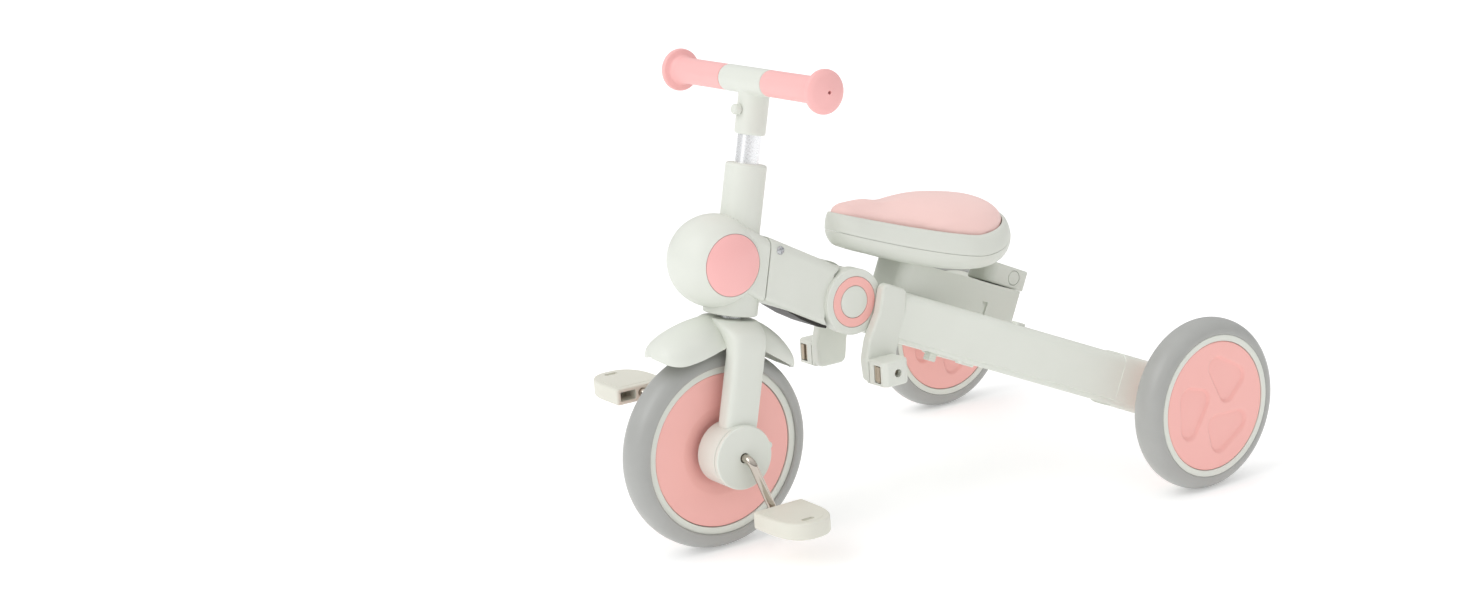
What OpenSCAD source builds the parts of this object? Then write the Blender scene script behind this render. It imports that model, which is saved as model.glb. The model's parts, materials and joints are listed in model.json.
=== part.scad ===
// Children's folding tricycle.
// +Z up, -Y forward, +X the rider's left. Origin on the ground, under the middle of the box.
// Three local frames carry most pieces: the steering column, the beam and the rear frame.

/* [Overall] */
// Distance between the front axle and the rear axles
wheelbase = 491; // [470:1:600]
// Distance between the middles of the two rear wheels
rear_track = 470; // [380:1:580]
// Height of the folding joint's axis above the ground
fold_height = 241; // [225:1:260]
// Distance of the folding joint behind the front axle
fold_setback = 164; // [158:1:190]
// Height of the handlebar's middle above the ground
bar_height = 487; // [470:1:600]
// Lean of the steering axis from upright
rake = 12; // [8:0.5:14]

/* [Front wheel] */
// Diameter over the front tyre
front_wheel_d = 216; // [190:1:222]
// Width of the front tyre
front_tyre_w = 40; // [34:1:48]
// Diameter of the cream rim of the front wheel
front_rim_d = 182; // [170:1:186]
// Diameter of the pink discs of the front wheel
front_disc_d = 166; // [140:1:168]
// Diameter of the steel sleeve through the front hub
axle_sleeve_d = 16; // [13:0.5:20]

/* [Rear wheels] */
// Diameter over a rear tyre
rear_wheel_d = 193; // [175:1:200]
// Width of a rear tyre
rear_tyre_w = 38; // [30:1:46]
// Diameter of the cream rim of a rear wheel
rear_rim_d = 160; // [152:1:166]
// Diameter of the pink disc of a rear wheel
rear_disc_d = 146; // [132:1:150]
// Diameter of the rear axle bolts
rear_axle_d = 10; // [8:0.5:12]

/* [Fork and cranks] */
// Diameter of the drum at the foot of each fork leg
hub_d = 68; // [60:1:76]
// Length of that drum with its cap
hub_len = 38; // [34:1:46]
// Thickness of a fork leg, across the tricycle
leg_t = 24; // [20:1:28]
// Width of a fork leg, fore and aft
leg_w = 40; // [34:1:46]
// Diameter of the steering tube
steerer_d = 25.4; // [22:0.1:28]
// Diameter of the crank rods
crank_d = 9; // [7:0.5:11]
// Distance between the crank axis and a pedal's axis
crank_len = 65; // [55:1:75]
// Angle of the left crank below level, towards the rear
crank_angle = 69.5; // [0:0.5:90]
// Angle from the left crank to the right crank
crank_phase = 165; // [150:15:180]
// Length of a pedal, fore and aft
pedal_len = 62; // [54:1:70]
// Width of a pedal, across the tricycle
pedal_w = 73; // [64:1:80]
// Thickness of a pedal
pedal_t = 18; // [16:1:22]

/* [Head and beam] */
// Diameter of the head tube
head_tube_d = 43.6; // [40:0.2:46]
// Diameter of the ball round the head tube
ball_d = 98; // [94:1:104]
// Diameter of the pink caps on the ball
ball_cap_d = 65; // [50:1:70]
// Width of the beam
beam_w = 66; // [60:1:72]
// Wall of the beam's shell
beam_wall = 3; // [2:0.5:4]
// Diameter of the folding joint's outer discs
fold_d = 77; // [70:1:80]
// Diameter of the buttons in the folding joint
fold_button_d = 35; // [30:1:38]
// Diameter of the folding joint's pin
fold_pin_d = 12; // [10:0.5:14]

/* [Handlebar] */
// Length of the handlebar over its grips
bar_len = 284; // [240:1:360]
// Diameter of the handlebar's steel tube
bar_d = 20; // [18:0.5:22]
// Diameter of the grips
grip_d = 27.6; // [26:0.2:32]
// Diameter of the flared ends of the grips
grip_flare_d = 46; // [38:1:54]

/* [Seat and rear frame] */
// Length of the saddle
seat_len = 239; // [215:1:260]
// Width of the saddle
seat_w = 142; // [120:1:160]
// Depth of a rear leg
leg_h = 52; // [44:1:54]
// Thickness of a rear leg
leg_side = 36; // [30:1:40]
// Width of the seat carrier
carrier_w = 58; // [50:1:60]

/* [Fits] */
// Running clearance on a radius
fit = 0.05; // [0.02:0.01:0.1]
// Clearance round pieces that are seated in each other
seat_fit = 0.15; // [0.1:0.05:0.3]
// Space between pieces that move past each other
play = 0.6; // [0.5:0.1:1]

/* [Hidden] */
$fn = 96;

CREAM = "#dfe2da";
PINK = "#f0b6b2";
GREY = "#b0b1ae";
STEEL = "#c9ccd0";
BLACK = "#26221f";
NYLON = "#e8e6df";

// Axles and the folding joint
front_r = front_wheel_d / 2;
rear_r = rear_wheel_d / 2;
front_y = front_r - (front_r + wheelbase + rear_r) / 2;
rear_y = front_y + wheelbase;
fold_y = front_y + fold_setback;
fold_z = fold_height;

// Rear frame: u runs rearwards and down from the folding joint to the rear axles, w across it
rear_tilt = atan2(fold_z - rear_r, rear_y - fold_y);
axle_u = norm([fold_z - rear_r, rear_y - fold_y]);

// Steering column: v runs up the steering axis from the front axle
crown_gap = 31;
crown_v = front_r + crown_gap;
collar_v = crown_v + 4;
collar_d = 58;
ball_v = collar_v + 55.3;
ball_fwd = 27.3;
ball_r = ball_d / 2;
head_top_v = collar_v + 158.6;
beam_root_v = ball_v + 4.7;
bar_v = (bar_height - front_r) / cos(rake);
bar_fwd = 8;
stem_foot_v = bar_v - 56;
steerer_r = steerer_d / 2;
steerer_top_v = bar_v - bar_d / 2 - 2.5;
head_r = head_tube_d / 2;

// Beam: it runs from the folding joint up to the steering axis
root_y = front_y + beam_root_v * sin(rake);
root_z = front_r + beam_root_v * cos(rake);
beam_angle = atan2(root_z - fold_z, fold_y - root_y);
beam_len = norm([root_z - fold_z, fold_y - root_y]);
beam_up = 30;
beam_down = 34.5;
bracket_back = 20;
tongue_back = 44;

// Folding joint, measured outwards from the middle
knuckle_x = 20;
cheek_in = knuckle_x + play;
cheek_out = 38;
cheek_r = fold_d / 2;
ring_depth = 2.5;
button_floor = 28.5;
button_travel = 3;

// Front hub, measured outwards from the middle
rim_x = front_tyre_w / 2 - 3;
disc_x = rim_x - 1;
drum_in = front_tyre_w / 2 - 1.5;
drum_out = drum_in + hub_len;
cap_t = 6;
hub_r = hub_d / 2;
sleeve_r = axle_sleeve_d / 2;
sleeve_x = drum_out - cap_t - 6;
fork_x = front_tyre_w / 2 + 5 + leg_t / 2;
bearing_t = 7;
bearing_r = sleeve_r + 6;
crank_r = crank_d / 2;
crank_arm_x = drum_out + 8;
pedal_in = drum_out + 20;

// Rear wheels and legs
wheel_in = rear_track / 2 - rear_tyre_w / 2;
leg_end_x = wheel_in - 8;
leg_root_x = 50;
leg_root_u = 57;
leg_bend_u = axle_u - 13;
leg_slope = (leg_end_x - leg_root_x) / (leg_bend_u - leg_root_u);
leg_across = leg_side * sqrt(1 + leg_slope * leg_slope);
leg_tail_u = axle_u + 16;
end_u = axle_u - 74;
rear_axle_r = rear_axle_d / 2;

// Saddle: heights above the folding joint, places measured from its nose
nose_y = fold_y - 6;
tail_y = nose_y + seat_len;
seat_half = seat_w / 2;
nose_half = 27;
tail_mid_y = tail_y - seat_half;
low_y = tail_y - 74;
shell_wall = 3;

carrier_end_u = 236;
carrier_top_w = 65;
holder_y = fold_y + 4;

// ---------- small shapes ----------

// Children moved into the frame of the steering column
module at_column() {
    translate([0, front_y, front_r]) rotate([-rake, 0, 0]) children();
}

// Children moved into the frame of the beam, whose -Y runs up to the head
module at_beam() {
    translate([0, fold_y, fold_z]) rotate([-beam_angle, 0, 0]) children();
}

// Children moved into the frame of the rear frame, whose +Y runs to the rear axles
module at_rear() {
    translate([0, fold_y, fold_z]) rotate([-rear_tilt, 0, 0]) children();
}

// Children mirrored to the right side when side is -1
module on_side(side) {
    mirror([side < 0 ? 1 : 0, 0, 0]) children();
}

// Cylinder along X from x0 to x1
module rod_x(r, x0, x1) {
    translate([x0, 0, 0]) rotate([0, 90, 0]) cylinder(r = r, h = x1 - x0);
}

// Ring along X
module ring_x(r_out, r_in, x0, x1) {
    difference() {
        rod_x(r_out, x0, x1);
        rod_x(r_in, x0 - 1, x1 + 1);
    }
}

// Flat rectangle w by h about the origin, its corners rounded by r
module soft_rect(w, h, r) {
    square([w - 2 * r, h], center = true);
    square([w, h - 2 * r], center = true);
    for (sx = [-1, 1]) for (sy = [-1, 1]) {
        translate([sx * (w / 2 - r), sy * (h / 2 - r)]) circle(r = r, $fn = 48);
    }
}

// Outline drawn in the side view, (fore and aft, up), extruded across from x0 to x1
module side_plate(points, x0, x1) {
    translate([x0, 0, 0]) rotate([90, 0, 90]) linear_extrude(x1 - x0) polygon(points);
}

// Outline turned round the X axis, drawn as (x, radius)
module turned_x(points) {
    rotate([0, 90, 0]) rotate_extrude() polygon([for (p = points) [p[1], p[0]]]);
}

// ---------- wheels ----------

// Tyre with a crowned tread: half an ellipse standing on the rim
module tyre(r, rim_r, width) {
    steps = 14;
    half = width / 2;
    color(GREY) turned_x(concat(
        [[half - 3, rim_r + seat_fit]],
        [for (i = [0 : steps]) let (a = 180 * i / steps)
            [half * cos(a), rim_r + 2 + (r - rim_r - 2) * sin(a)]],
        [[-(half - 3), rim_r + seat_fit]]));
}

// Moulded rim: outer band, web and hub
module rim(r, pocket_r, half, web, hub_r, bore_r) {
    difference() {
        union() {
            ring_x(r, pocket_r + seat_fit, -half, half);
            rod_x(r - 1, -web, web);
            rod_x(hub_r, -half + 6, half - 6);
        }
        rod_x(bore_r, -half - 1, half + 1);
    }
}

module at_front_axle() {
    translate([0, front_y, front_r]) children();
}

module front_tyre() {
    at_front_axle() tyre(front_r, front_rim_d / 2, front_tyre_w);
}

module front_rim() {
    color(CREAM) at_front_axle()
        rim(front_rim_d / 2, front_disc_d / 2, rim_x, 3, sleeve_r + 8, sleeve_r + seat_fit);
}

module front_disc(side) {
    color(PINK) at_front_axle() on_side(side) difference() {
        turned_x([[3.2, 30], [disc_x - 6, 30], [disc_x, 40], [disc_x, front_disc_d / 2],
                  [disc_x - 4, front_disc_d / 2], [disc_x - 3, 42], [5.2, 32.4], [5.2, front_disc_d / 2 - 12],
                  [3.2, front_disc_d / 2 - 12]]);
        rod_x(29, -1, disc_x + 1);
    }
}

module front_disc_left() { front_disc(1); }
module front_disc_right() { front_disc(-1); }

module axle_sleeve() {
    color(STEEL) at_front_axle() ring_x(sleeve_r, crank_r + seat_fit, -sleeve_x, sleeve_x);
}

// ---------- cranks and pedals ----------

function crank_dir(side) = side > 0 ? -crank_angle : -crank_angle - crank_phase;
function pedal_at(side) = [crank_len * cos(crank_dir(side)), crank_len * sin(crank_dir(side))];

// Bent rod: stub in the hub, arm, and the pin that carries the pedal
module crank(side) {
    color(STEEL) at_front_axle() on_side(side) rotate([crank_dir(side), 0, 0]) {
        rod_x(crank_r, sleeve_x - 20, crank_arm_x);
        translate([crank_arm_x, 0, 0]) sphere(r = crank_r);
        translate([crank_arm_x, 0, 0]) rotate([-90, 0, 0]) cylinder(r = crank_r, h = crank_len);
        translate([crank_arm_x, crank_len, 0]) sphere(r = crank_r);
        translate([0, crank_len, 0]) rod_x(crank_r, crank_arm_x, pedal_in + pedal_w - 14);
    }
}

module crank_left() { crank(1); }
module crank_right() { crank(-1); }

// D-shaped block with a boss for the pin, two pockets in its inner face and a slot on top
module pedal(side) {
    bulge = 18;
    half = pedal_len / 2;
    bow_r = (half * half + bulge * bulge) / (2 * bulge);
    slot_x = pedal_w - 22;
    color(NYLON) at_front_axle() on_side(side)
        translate([pedal_in, pedal_at(side)[0], pedal_at(side)[1]]) difference() {
            translate([0, 0, -pedal_t / 2]) linear_extrude(pedal_t) intersection() {
                union() {
                    translate([0, -half]) square([pedal_w - bulge, pedal_len]);
                    translate([pedal_w - bow_r, 0]) circle(r = bow_r);
                }
                translate([0, -half]) square([pedal_w, pedal_len]);
            }
            rod_x(crank_r + fit, -1, pedal_w - 13);
            for (s = [-1, 1]) translate([-1, s * (half - 13.5) - 9.5, -pedal_t / 2 + 4])
                cube([24, 19, pedal_t - 8]);
            translate([slot_x, 8, pedal_t / 2 - 2]) cube([5, 12, 3]);
        }
}

module pedal_left() { pedal(1); }
module pedal_right() { pedal(-1); }

// ---------- fork ----------

// Cup that carries a bearing, open outwards
module hub_drum(side) {
    wall = 3;
    pocket = drum_out - cap_t;
    color(CREAM) at_front_axle() on_side(side) difference() {
        union() {
            ring_x(hub_r, hub_r - wall, drum_in, pocket);
            rod_x(hub_r - 1, drum_in, drum_in + wall);
            rod_x(bearing_r + 3, drum_in, sleeve_x + 1);
        }
        rod_x(sleeve_r + play, drum_in - 1, drum_out);
        rod_x(bearing_r + seat_fit, sleeve_x - bearing_t, drum_out);
    }
}

module hub_drum_left() { hub_drum(1); }
module hub_drum_right() { hub_drum(-1); }

// Cap of the drum, with a release nub on its rear edge
module hub_cap(side) {
    base = drum_out - cap_t;
    color(CREAM) at_front_axle() on_side(side) difference() {
        union() {
            turned_x([[base + seat_fit, 0], [base + seat_fit, hub_r], [drum_out - 2, hub_r],
                      [drum_out - 0.6, hub_r - 1.5], [drum_out, hub_r - 4], [drum_out, 0]]);
            ring_x(hub_r - 3 - seat_fit, hub_r - 6, base - 5, base + 1);
            rotate([-8, 0, 0]) translate([0, hub_r - 1.5, 0]) rod_x(4, base + 0.9, drum_out - 2.6);
        }
        rod_x(crank_r + play, base - 1, drum_out + 1);
    }
}

module hub_cap_left() { hub_cap(1); }
module hub_cap_right() { hub_cap(-1); }

module front_bearings() {
    color(STEEL) at_front_axle() for (s = [-1, 1]) on_side(s)
        ring_x(bearing_r, sleeve_r + fit, sleeve_x - bearing_t, sleeve_x);
}

// Fork: two legs that run into one crown over the wheel
module fork() {
    shoulder_v = front_r + 8;
    tyre_gap = 6;
    color(CREAM) at_column() difference() {
        union() {
            for (s = [-1, 1]) translate([s * fork_x, 0, 0])
                linear_extrude(shoulder_v + 12) soft_rect(leg_t, leg_w, 9);
            hull() {
                translate([0, 0, crown_v - 6]) cylinder(d = collar_d, h = 6, $fn = 32);
                for (s = [-1, 1]) translate([s * fork_x, 0, shoulder_v])
                    linear_extrude(2) soft_rect(leg_t, leg_w, 9);
            }
        }
        rod_x(hub_r + seat_fit, -200, 200);
        rod_x(front_r + tyre_gap, -(fork_x - leg_t / 2), fork_x - leg_t / 2);
        translate([0, 0, front_r]) cylinder(r = steerer_r + seat_fit, h = 100);
    }
}

// Mudguard: an arched hood in two wings, joined between the fork legs
guard_r = front_r + 10;
guard_half = front_tyre_w / 2 + 12;
guard_drop = 31;
guard_wall = 2.5;

// Half ellipse across the hood, its crest at radius r
function hood(r, half, drop) = [for (i = [0 : 16]) let (a = 180 * i / 16)
    [half * cos(a), r - drop + drop * sin(a)]];

module mudguard() {
    inner = guard_half - guard_wall;
    color(CREAM) difference() {
        translate([0, front_y - 5, front_r + 28]) intersection() {
            turned_x(concat(hood(guard_r, guard_half, guard_drop),
                            [for (i = [16 : -1 : 0]) hood(guard_r - guard_wall, inner, guard_drop)[i]]));
            side_plate([[0, 0], [-62, 66], [-82, 86], [-70, 130], [60, 130], [126, 60], [100, 39]],
                       -100, 100);
        }
        at_front_axle() rod_x(front_r + 4, -100, 100);
        at_column() translate([0, 0, front_r]) cylinder(d = collar_d + 0.6, h = 60);
        at_column() translate([-60, -collar_d / 2 - 0.3, 90]) cube([120, collar_d + 0.6, 90]);
    }
}

// Steering tube, with a keyway for the handlebar's spring pin down from its top
module steerer_tube() {
    wall = 1.6;
    pin_v = stem_foot_v + 25;
    color(STEEL) at_column() difference() {
        translate([0, 0, front_r + 9]) cylinder(r = steerer_r, h = steerer_top_v - front_r - 9);
        cylinder(r = steerer_r - wall, h = steerer_top_v + 1);
        translate([0, 0, pin_v]) rotate([90, 0, 0]) cylinder(r = 3.3, h = 40);
        translate([-3.3, -40, pin_v]) cube([6.6, 40, 100]);
    }
}

// ---------- head ----------

bush_r = steerer_r + 4;
bush_len = 12;

module head_tube() {
    color(CREAM) at_column() difference() {
        translate([0, 0, collar_v]) rotate_extrude() polygon([
            [0, 0], [head_r, 0], [head_r, head_top_v - collar_v - 4],
            [head_r - 1.2, head_top_v - collar_v - 1.2], [head_r - 4, head_top_v - collar_v], [0, head_top_v - collar_v]]);
        cylinder(r = steerer_r + 2, h = head_top_v + 1);
        translate([0, 0, head_top_v - bush_len]) cylinder(r = bush_r + seat_fit, h = bush_len + 1);
        translate([0, 0, collar_v - 1]) cylinder(r = bush_r + seat_fit, h = bush_len + 1);
    }
}

module headset_bushes() {
    color(NYLON) at_column() for (v = [collar_v, head_top_v - bush_len]) translate([0, 0, v]) difference() {
        cylinder(r = bush_r, h = bush_len);
        translate([0, 0, -1]) cylinder(r = steerer_r + fit, h = bush_len + 2);
    }
}

collar_top_v = collar_v + 26;

module head_collar() {
    color(CREAM) at_column() difference() {
        translate([0, 0, collar_v]) cylinder(d = collar_d, h = collar_top_v - collar_v);
        translate([0, 0, collar_v - 1]) cylinder(r = head_r + seat_fit, h = 60);
    }
}

cap_seat_x = 35;
ball_wall = 4;

// Hollow ball round the head tube, with a round seat on each side
module head_ball() {
    color(CREAM) at_column() difference() {
        translate([0, -ball_fwd, ball_v]) sphere(r = ball_r);
        translate([0, -ball_fwd, ball_v]) intersection() {
            sphere(r = ball_r - ball_wall);
            cube([2 * (cap_seat_x - ball_wall), 200, 200], center = true);
        }
        for (s = [-1, 1]) on_side(s) translate([0, -ball_fwd, ball_v])
            rod_x(ball_cap_d / 2 + seat_fit, cap_seat_x, 80);
        cylinder(r = head_r + seat_fit, h = head_top_v);
        cylinder(d = collar_d + 2 * seat_fit, h = collar_top_v + seat_fit);
    }
}

// Domed cap: a slice of a large sphere
module ball_cap(side) {
    dome = 8;
    r = ball_cap_d / 2;
    dome_r = (r * r + dome * dome) / (2 * dome);
    apex = cap_seat_x + 1 + dome;
    span = asin(r / dome_r);
    color(PINK) at_column() on_side(side) translate([0, -ball_fwd, ball_v])
        turned_x(concat([[cap_seat_x + 0.05, 0], [cap_seat_x + 0.05, r]],
                        [for (i = [8 : -1 : 0]) let (a = span * i / 8)
                            [apex - dome_r + dome_r * cos(a), dome_r * sin(a)]]));
}

module ball_cap_left() { ball_cap(1); }
module ball_cap_right() { ball_cap(-1); }

// Fore edge of the beam in the column's frame: it follows the beam's slope
beam_lean = beam_angle - rake;
neck_low_v = beam_root_v - 42.5;
neck_high_v = beam_root_v + 24;
neck_rise = tan(beam_angle + rake) * 0.47;
screw_back = 32;
screw_v = beam_root_v + 12.6;

// Bracket that ties the head tube to the beam, with a tongue inside the beam's shell
module head_bracket() {
    color(CREAM) at_column() difference() {
        union() {
            side_plate([[bracket_back, neck_low_v], [bracket_back, neck_high_v],
                        [-12, neck_high_v + 32 * neck_rise], [-12, neck_low_v + 32 * neck_rise]],
                       -beam_w / 2, beam_w / 2);
            side_plate([[bracket_back - 1, neck_low_v + 12], [bracket_back - 1, neck_high_v - 8],
                        [tongue_back, neck_high_v - 15], [tongue_back, neck_low_v + 8]],
                       -(beam_w / 2 - beam_wall - 0.2), beam_w / 2 - beam_wall - 0.2);
        }
        translate([0, -ball_fwd, ball_v]) sphere(r = ball_r + seat_fit);
        cylinder(r = head_r + seat_fit, h = head_top_v);
        cylinder(d = collar_d + 2 * seat_fit, h = collar_top_v + seat_fit);
        translate([0, screw_back, screw_v]) rod_x(2.6, -60, 60);
    }
}

// Space taken by the head, which the beam's front end is cut to
module head_clearance() {
    at_column() {
        translate([-100, -200, 0]) cube([200, 200 + bracket_back + seat_fit, 500]);
        cylinder(r = head_r + 2 * seat_fit, h = head_top_v);
        cylinder(d = collar_d + 4 * seat_fit, h = collar_top_v + 2 * seat_fit);
    }
}

// Beam's section, wall by wall
module beam_section(inset) {
    translate([0, (beam_up - beam_down) / 2])
        soft_rect(beam_w - 2 * inset, beam_up + beam_down - 2 * inset, max(9 - inset, 2));
}

module beam_shell() {
    color(CREAM) difference() {
        at_beam() difference() {
            rotate([90, 0, 0]) linear_extrude(beam_len + 10) beam_section(0);
            translate([0, 1, 0]) rotate([90, 0, 0]) linear_extrude(beam_len + 30) beam_section(beam_wall);
            translate([-(beam_w / 2 - 8), -beam_len - 20, -beam_down - 5])
                cube([beam_w - 16, beam_len + 40, 5 + beam_wall + 0.2]);
            rod_x(cheek_r + play, -60, 60);
        }
        head_clearance();
        at_column() translate([0, screw_back, screw_v]) rod_x(2.6, -60, 60);
    }
}

// Dark cover that closes the underside of the beam
module beam_liner() {
    half = beam_w / 2 - 8 - seat_fit;
    color(BLACK) difference() {
        at_beam() difference() {
            translate([-half, -beam_len, -beam_down - 3]) cube([2 * half, beam_len, 3 + beam_wall]);
            rod_x(cheek_r + play, -60, 60);
        }
        head_clearance();
    }
}

// Chrome screws with round heads, one each side, through shell and bracket
module frame_screws() {
    color(STEEL) at_column() for (s = [-1, 1]) on_side(s) translate([0, screw_back, screw_v]) {
        rod_x(2.5, beam_w / 2 - 14, beam_w / 2 + 0.5);
        rotate([0, 90, 0]) translate([0, 0, beam_w / 2 + 0.05]) cylinder(r1 = 4.4, r2 = 3, h = 2.2);
    }
}

// Metal knuckle that ends the beam between the cheeks
module fold_knuckle() {
    r = cheek_r - 2.5;
    color(BLACK) at_beam() difference() {
        union() {
            rod_x(r, -knuckle_x, knuckle_x);
            translate([-knuckle_x, -74, -20]) cube([2 * knuckle_x, 70, 38]);
            translate([-(beam_w / 2 - beam_wall - 0.1), -74, -20])
                cube([beam_w - 2 * beam_wall - 0.2, 74 - cheek_r - 2, 38]);
        }
        rod_x(fold_pin_d / 2 + fit, -40, 40);
    }
}

// ---------- handlebar ----------

stem_r = steerer_r + 3.6;
tee_half = 38.5;

module handlebar_stem() {
    tee_r = bar_d / 2 + 4;
    color(CREAM) at_column() difference() {
        union() {
            translate([0, 0, stem_foot_v]) cylinder(r = stem_r, h = bar_v - stem_foot_v);
            translate([0, -bar_fwd, bar_v]) rod_x(tee_r, -tee_half, tee_half);
            translate([-7, -stem_r - 1.5, stem_foot_v]) cube([14, 8, 40]);
        }
        translate([0, 0, stem_foot_v - 1]) cylinder(r = steerer_r + fit, h = steerer_top_v - stem_foot_v + 1.5);
        translate([0, -bar_fwd, bar_v]) rod_x(bar_d / 2 + fit, -60, 60);
        translate([0, 0, stem_foot_v + 25]) rotate([90, 0, 0]) cylinder(r = 3 + fit, h = 60);
    }
}

module handlebar_tube() {
    color(STEEL) at_column() translate([0, -bar_fwd, bar_v])
        ring_x(bar_d / 2, bar_d / 2 - 1.5, -(bar_len / 2 - 12), bar_len / 2 - 12);
}

// Grip: sleeve, flared end with a domed face and a small vent hole
module grip(side) {
    end = bar_len / 2;
    r = grip_d / 2;
    flare = grip_flare_d / 2;
    color(PINK) at_column() translate([0, -bar_fwd, bar_v]) on_side(side) difference() {
        turned_x([[tee_half + 0.2, 0], [tee_half + 0.2, r], [end - 20, r], [end - 16, r + 1.5],
                  [end - 13, flare - 3], [end - 11, flare - 0.8], [end - 8, flare], [end - 5, flare - 1],
                  [end - 2.5, flare * 0.7], [end - 0.7, flare * 0.35], [end, 0]]);
        rod_x(bar_d / 2 + fit, 0, end - 12 + seat_fit);
        rod_x(1.6, end - 14, end + 1);
    }
}

module grip_left() { grip(1); }
module grip_right() { grip(-1); }

// Spring pin with a knob: its nose stands in a hole of the steering tube
module stem_button() {
    color(CREAM) at_column() translate([0, 0, stem_foot_v + 25]) rotate([90, 0, 0]) {
        translate([0, 0, steerer_r - 1.4]) cylinder(r = 3, h = 12);
        translate([0, 0, stem_r + 1.5 + play]) rotate_extrude() polygon([[0, 0], [5.4, 0], [5.4, 6.5],
            [4.6, 8], [3, 8.6], [0, 8.8]]);
    }
}

// ---------- folding joint and rear frame ----------

// Cheeks of the folding joint and the web that carries the two legs
module rear_core() {
    web_end = leg_root_u + 66;
    inner_x = leg_root_x - leg_across;
    nose = 46;
    color(CREAM) at_rear() difference() {
        union() {
            for (s = [-1, 1]) on_side(s) rod_x(cheek_r, cheek_in, cheek_out);
            translate([0, 0, -leg_h / 2 + 4]) linear_extrude(leg_h - 8) polygon([
                [-30, 8], [30, 8], [30, nose], [max(inner_x, 4) - 0.2, leg_root_u - 0.4],
                [inner_x + 66 * leg_slope - 0.2, web_end], [-inner_x - 66 * leg_slope + 0.2, web_end],
                [-max(inner_x, 4) + 0.2, leg_root_u - 0.4], [-30, nose]]);
        }
        rod_x(cheek_r - 2.5 + play, -cheek_in, cheek_in);
        rod_x(fold_pin_d / 2 + fit, -60, 60);
        for (s = [-1, 1]) on_side(s) {
            rod_x(fold_button_d / 2 + fit, button_floor, 60);
            ring_x(27.3 + seat_fit, fold_button_d / 2 - 1, cheek_out - ring_depth, 60);
        }
        translate([-cheek_in, -60, -60]) cube([2 * cheek_in, 60 + 10, 120]);
    }
}

// Pink ring let into each cheek, round the button
module fold_rings() {
    color(PINK) at_rear() for (s = [-1, 1]) on_side(s)
        ring_x(27.3, fold_button_d / 2 + fit, cheek_out - ring_depth + 0.05, cheek_out + 0.2);
}

module fold_pin() {
    color(STEEL) at_rear() rod_x(fold_pin_d / 2, -(button_floor - 0.5), button_floor - 0.5);
}

// Release button in the middle of the cheek
module fold_button(side) {
    r = fold_button_d / 2;
    face = cheek_out + 0.8;
    base = button_floor + button_travel + 0.8;
    color(CREAM) at_rear() on_side(side)
        turned_x([[base, 0], [base, r], [face - 0.8, r], [face, r - 1.4], [face + 0.5, 0]]);
}

module fold_button_left() { fold_button(1); }
module fold_button_right() { fold_button(-1); }

// A rear leg's bar: it splays outwards from its root, and its outer face starts at x = leg_root_x
module leg_bar(width, height, out) {
    translate([leg_root_x, leg_root_u, 0]) rotate([0, 0, -atan(leg_slope)]) translate([out - width / 2, -60, 0])
        rotate([-90, 0, 0]) linear_extrude(520) soft_rect(width, height, 9);
}

module rear_leg(side) {
    lip_x = leg_root_x + (125 - leg_root_u) * leg_slope;
    tab_x = leg_root_x + (172 - leg_root_u) * leg_slope;
    color(CREAM) at_rear() on_side(side) difference() {
        union() {
            leg_bar(leg_side, leg_h, 0);
            translate([lip_x - 20, 125, -leg_h / 2 - 3]) cube([12, 22, 4]);
            translate([tab_x - 20, 172, leg_h / 2 - 1]) cube([12, 14, 4]);
        }
        translate([-200, leg_root_u - 300, -100]) cube([400, 300, 200]);
        translate([-200, end_u, -100]) cube([600, 400, 200]);
        translate([-200, 0, -100]) cube([200, 400, 200]);
    }
}

module rear_leg_left() { rear_leg(1); }
module rear_leg_right() { rear_leg(-1); }

// Block at the end of a leg, which turns parallel to the wheel and holds its axle
module leg_end(side) {
    lip = 4;
    grow = 1.5;
    tall = leg_h + 2 * lip;
    wide = leg_side + 2 * grow;
    color(CREAM) at_rear() on_side(side) difference() {
        intersection() {
            union() {
                leg_bar(wide, tall, grow);
                translate([leg_end_x + grow - wide / 2, leg_bend_u - 30, 0])
                    rotate([-90, 0, 0]) linear_extrude(80) soft_rect(wide, tall, 9);
            }
            union() {
                translate([0, end_u + 0.1, -60]) cube([leg_end_x + grow, leg_bend_u - end_u, 120]);
                translate([0, leg_tail_u - tall / 2, 0]) rod_x(tall / 2, 0, leg_end_x + grow);
            }
        }
        translate([0, axle_u, 0]) rod_x(rear_axle_r + seat_fit, 0, 400);
        translate([0, axle_u, 0]) rod_x(rear_axle_r + 4.6, 0, leg_end_x - leg_side - grow);
    }
}

module leg_end_left() { leg_end(1); }
module leg_end_right() { leg_end(-1); }

module at_rear_axle(side) {
    translate([side * rear_track / 2, rear_y, rear_r]) children();
}

// Axle bolts with a head inside the leg's end
module rear_axles() {
    inner = leg_end_x - leg_side - 1.6 - rear_track / 2;
    color(STEEL) for (s = [-1, 1]) on_side(s) at_rear_axle(1) {
        rod_x(rear_axle_r, inner, rear_tyre_w / 2 - 6);
        rod_x(rear_axle_r + 4, inner - 5, inner);
        rod_x(rear_axle_r + 4, leg_end_x + 1.6 - rear_track / 2, -rear_tyre_w / 2 + 5.6);
    }
}

module rear_tyre(side) {
    at_rear_axle(side) tyre(rear_r, rear_rim_d / 2, rear_tyre_w);
}

module rear_rim(side) {
    half = rear_tyre_w / 2;
    color(CREAM) at_rear_axle(1 * side) on_side(side) difference() {
        rim(rear_rim_d / 2, rear_disc_d / 2, half, 4, 16, rear_axle_r + fit);
        rod_x(rear_axle_r + 5, -half - 1, -half + 3);
        rod_x(rear_axle_r + 5, half - 9, half + 1);
    }
}

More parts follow.
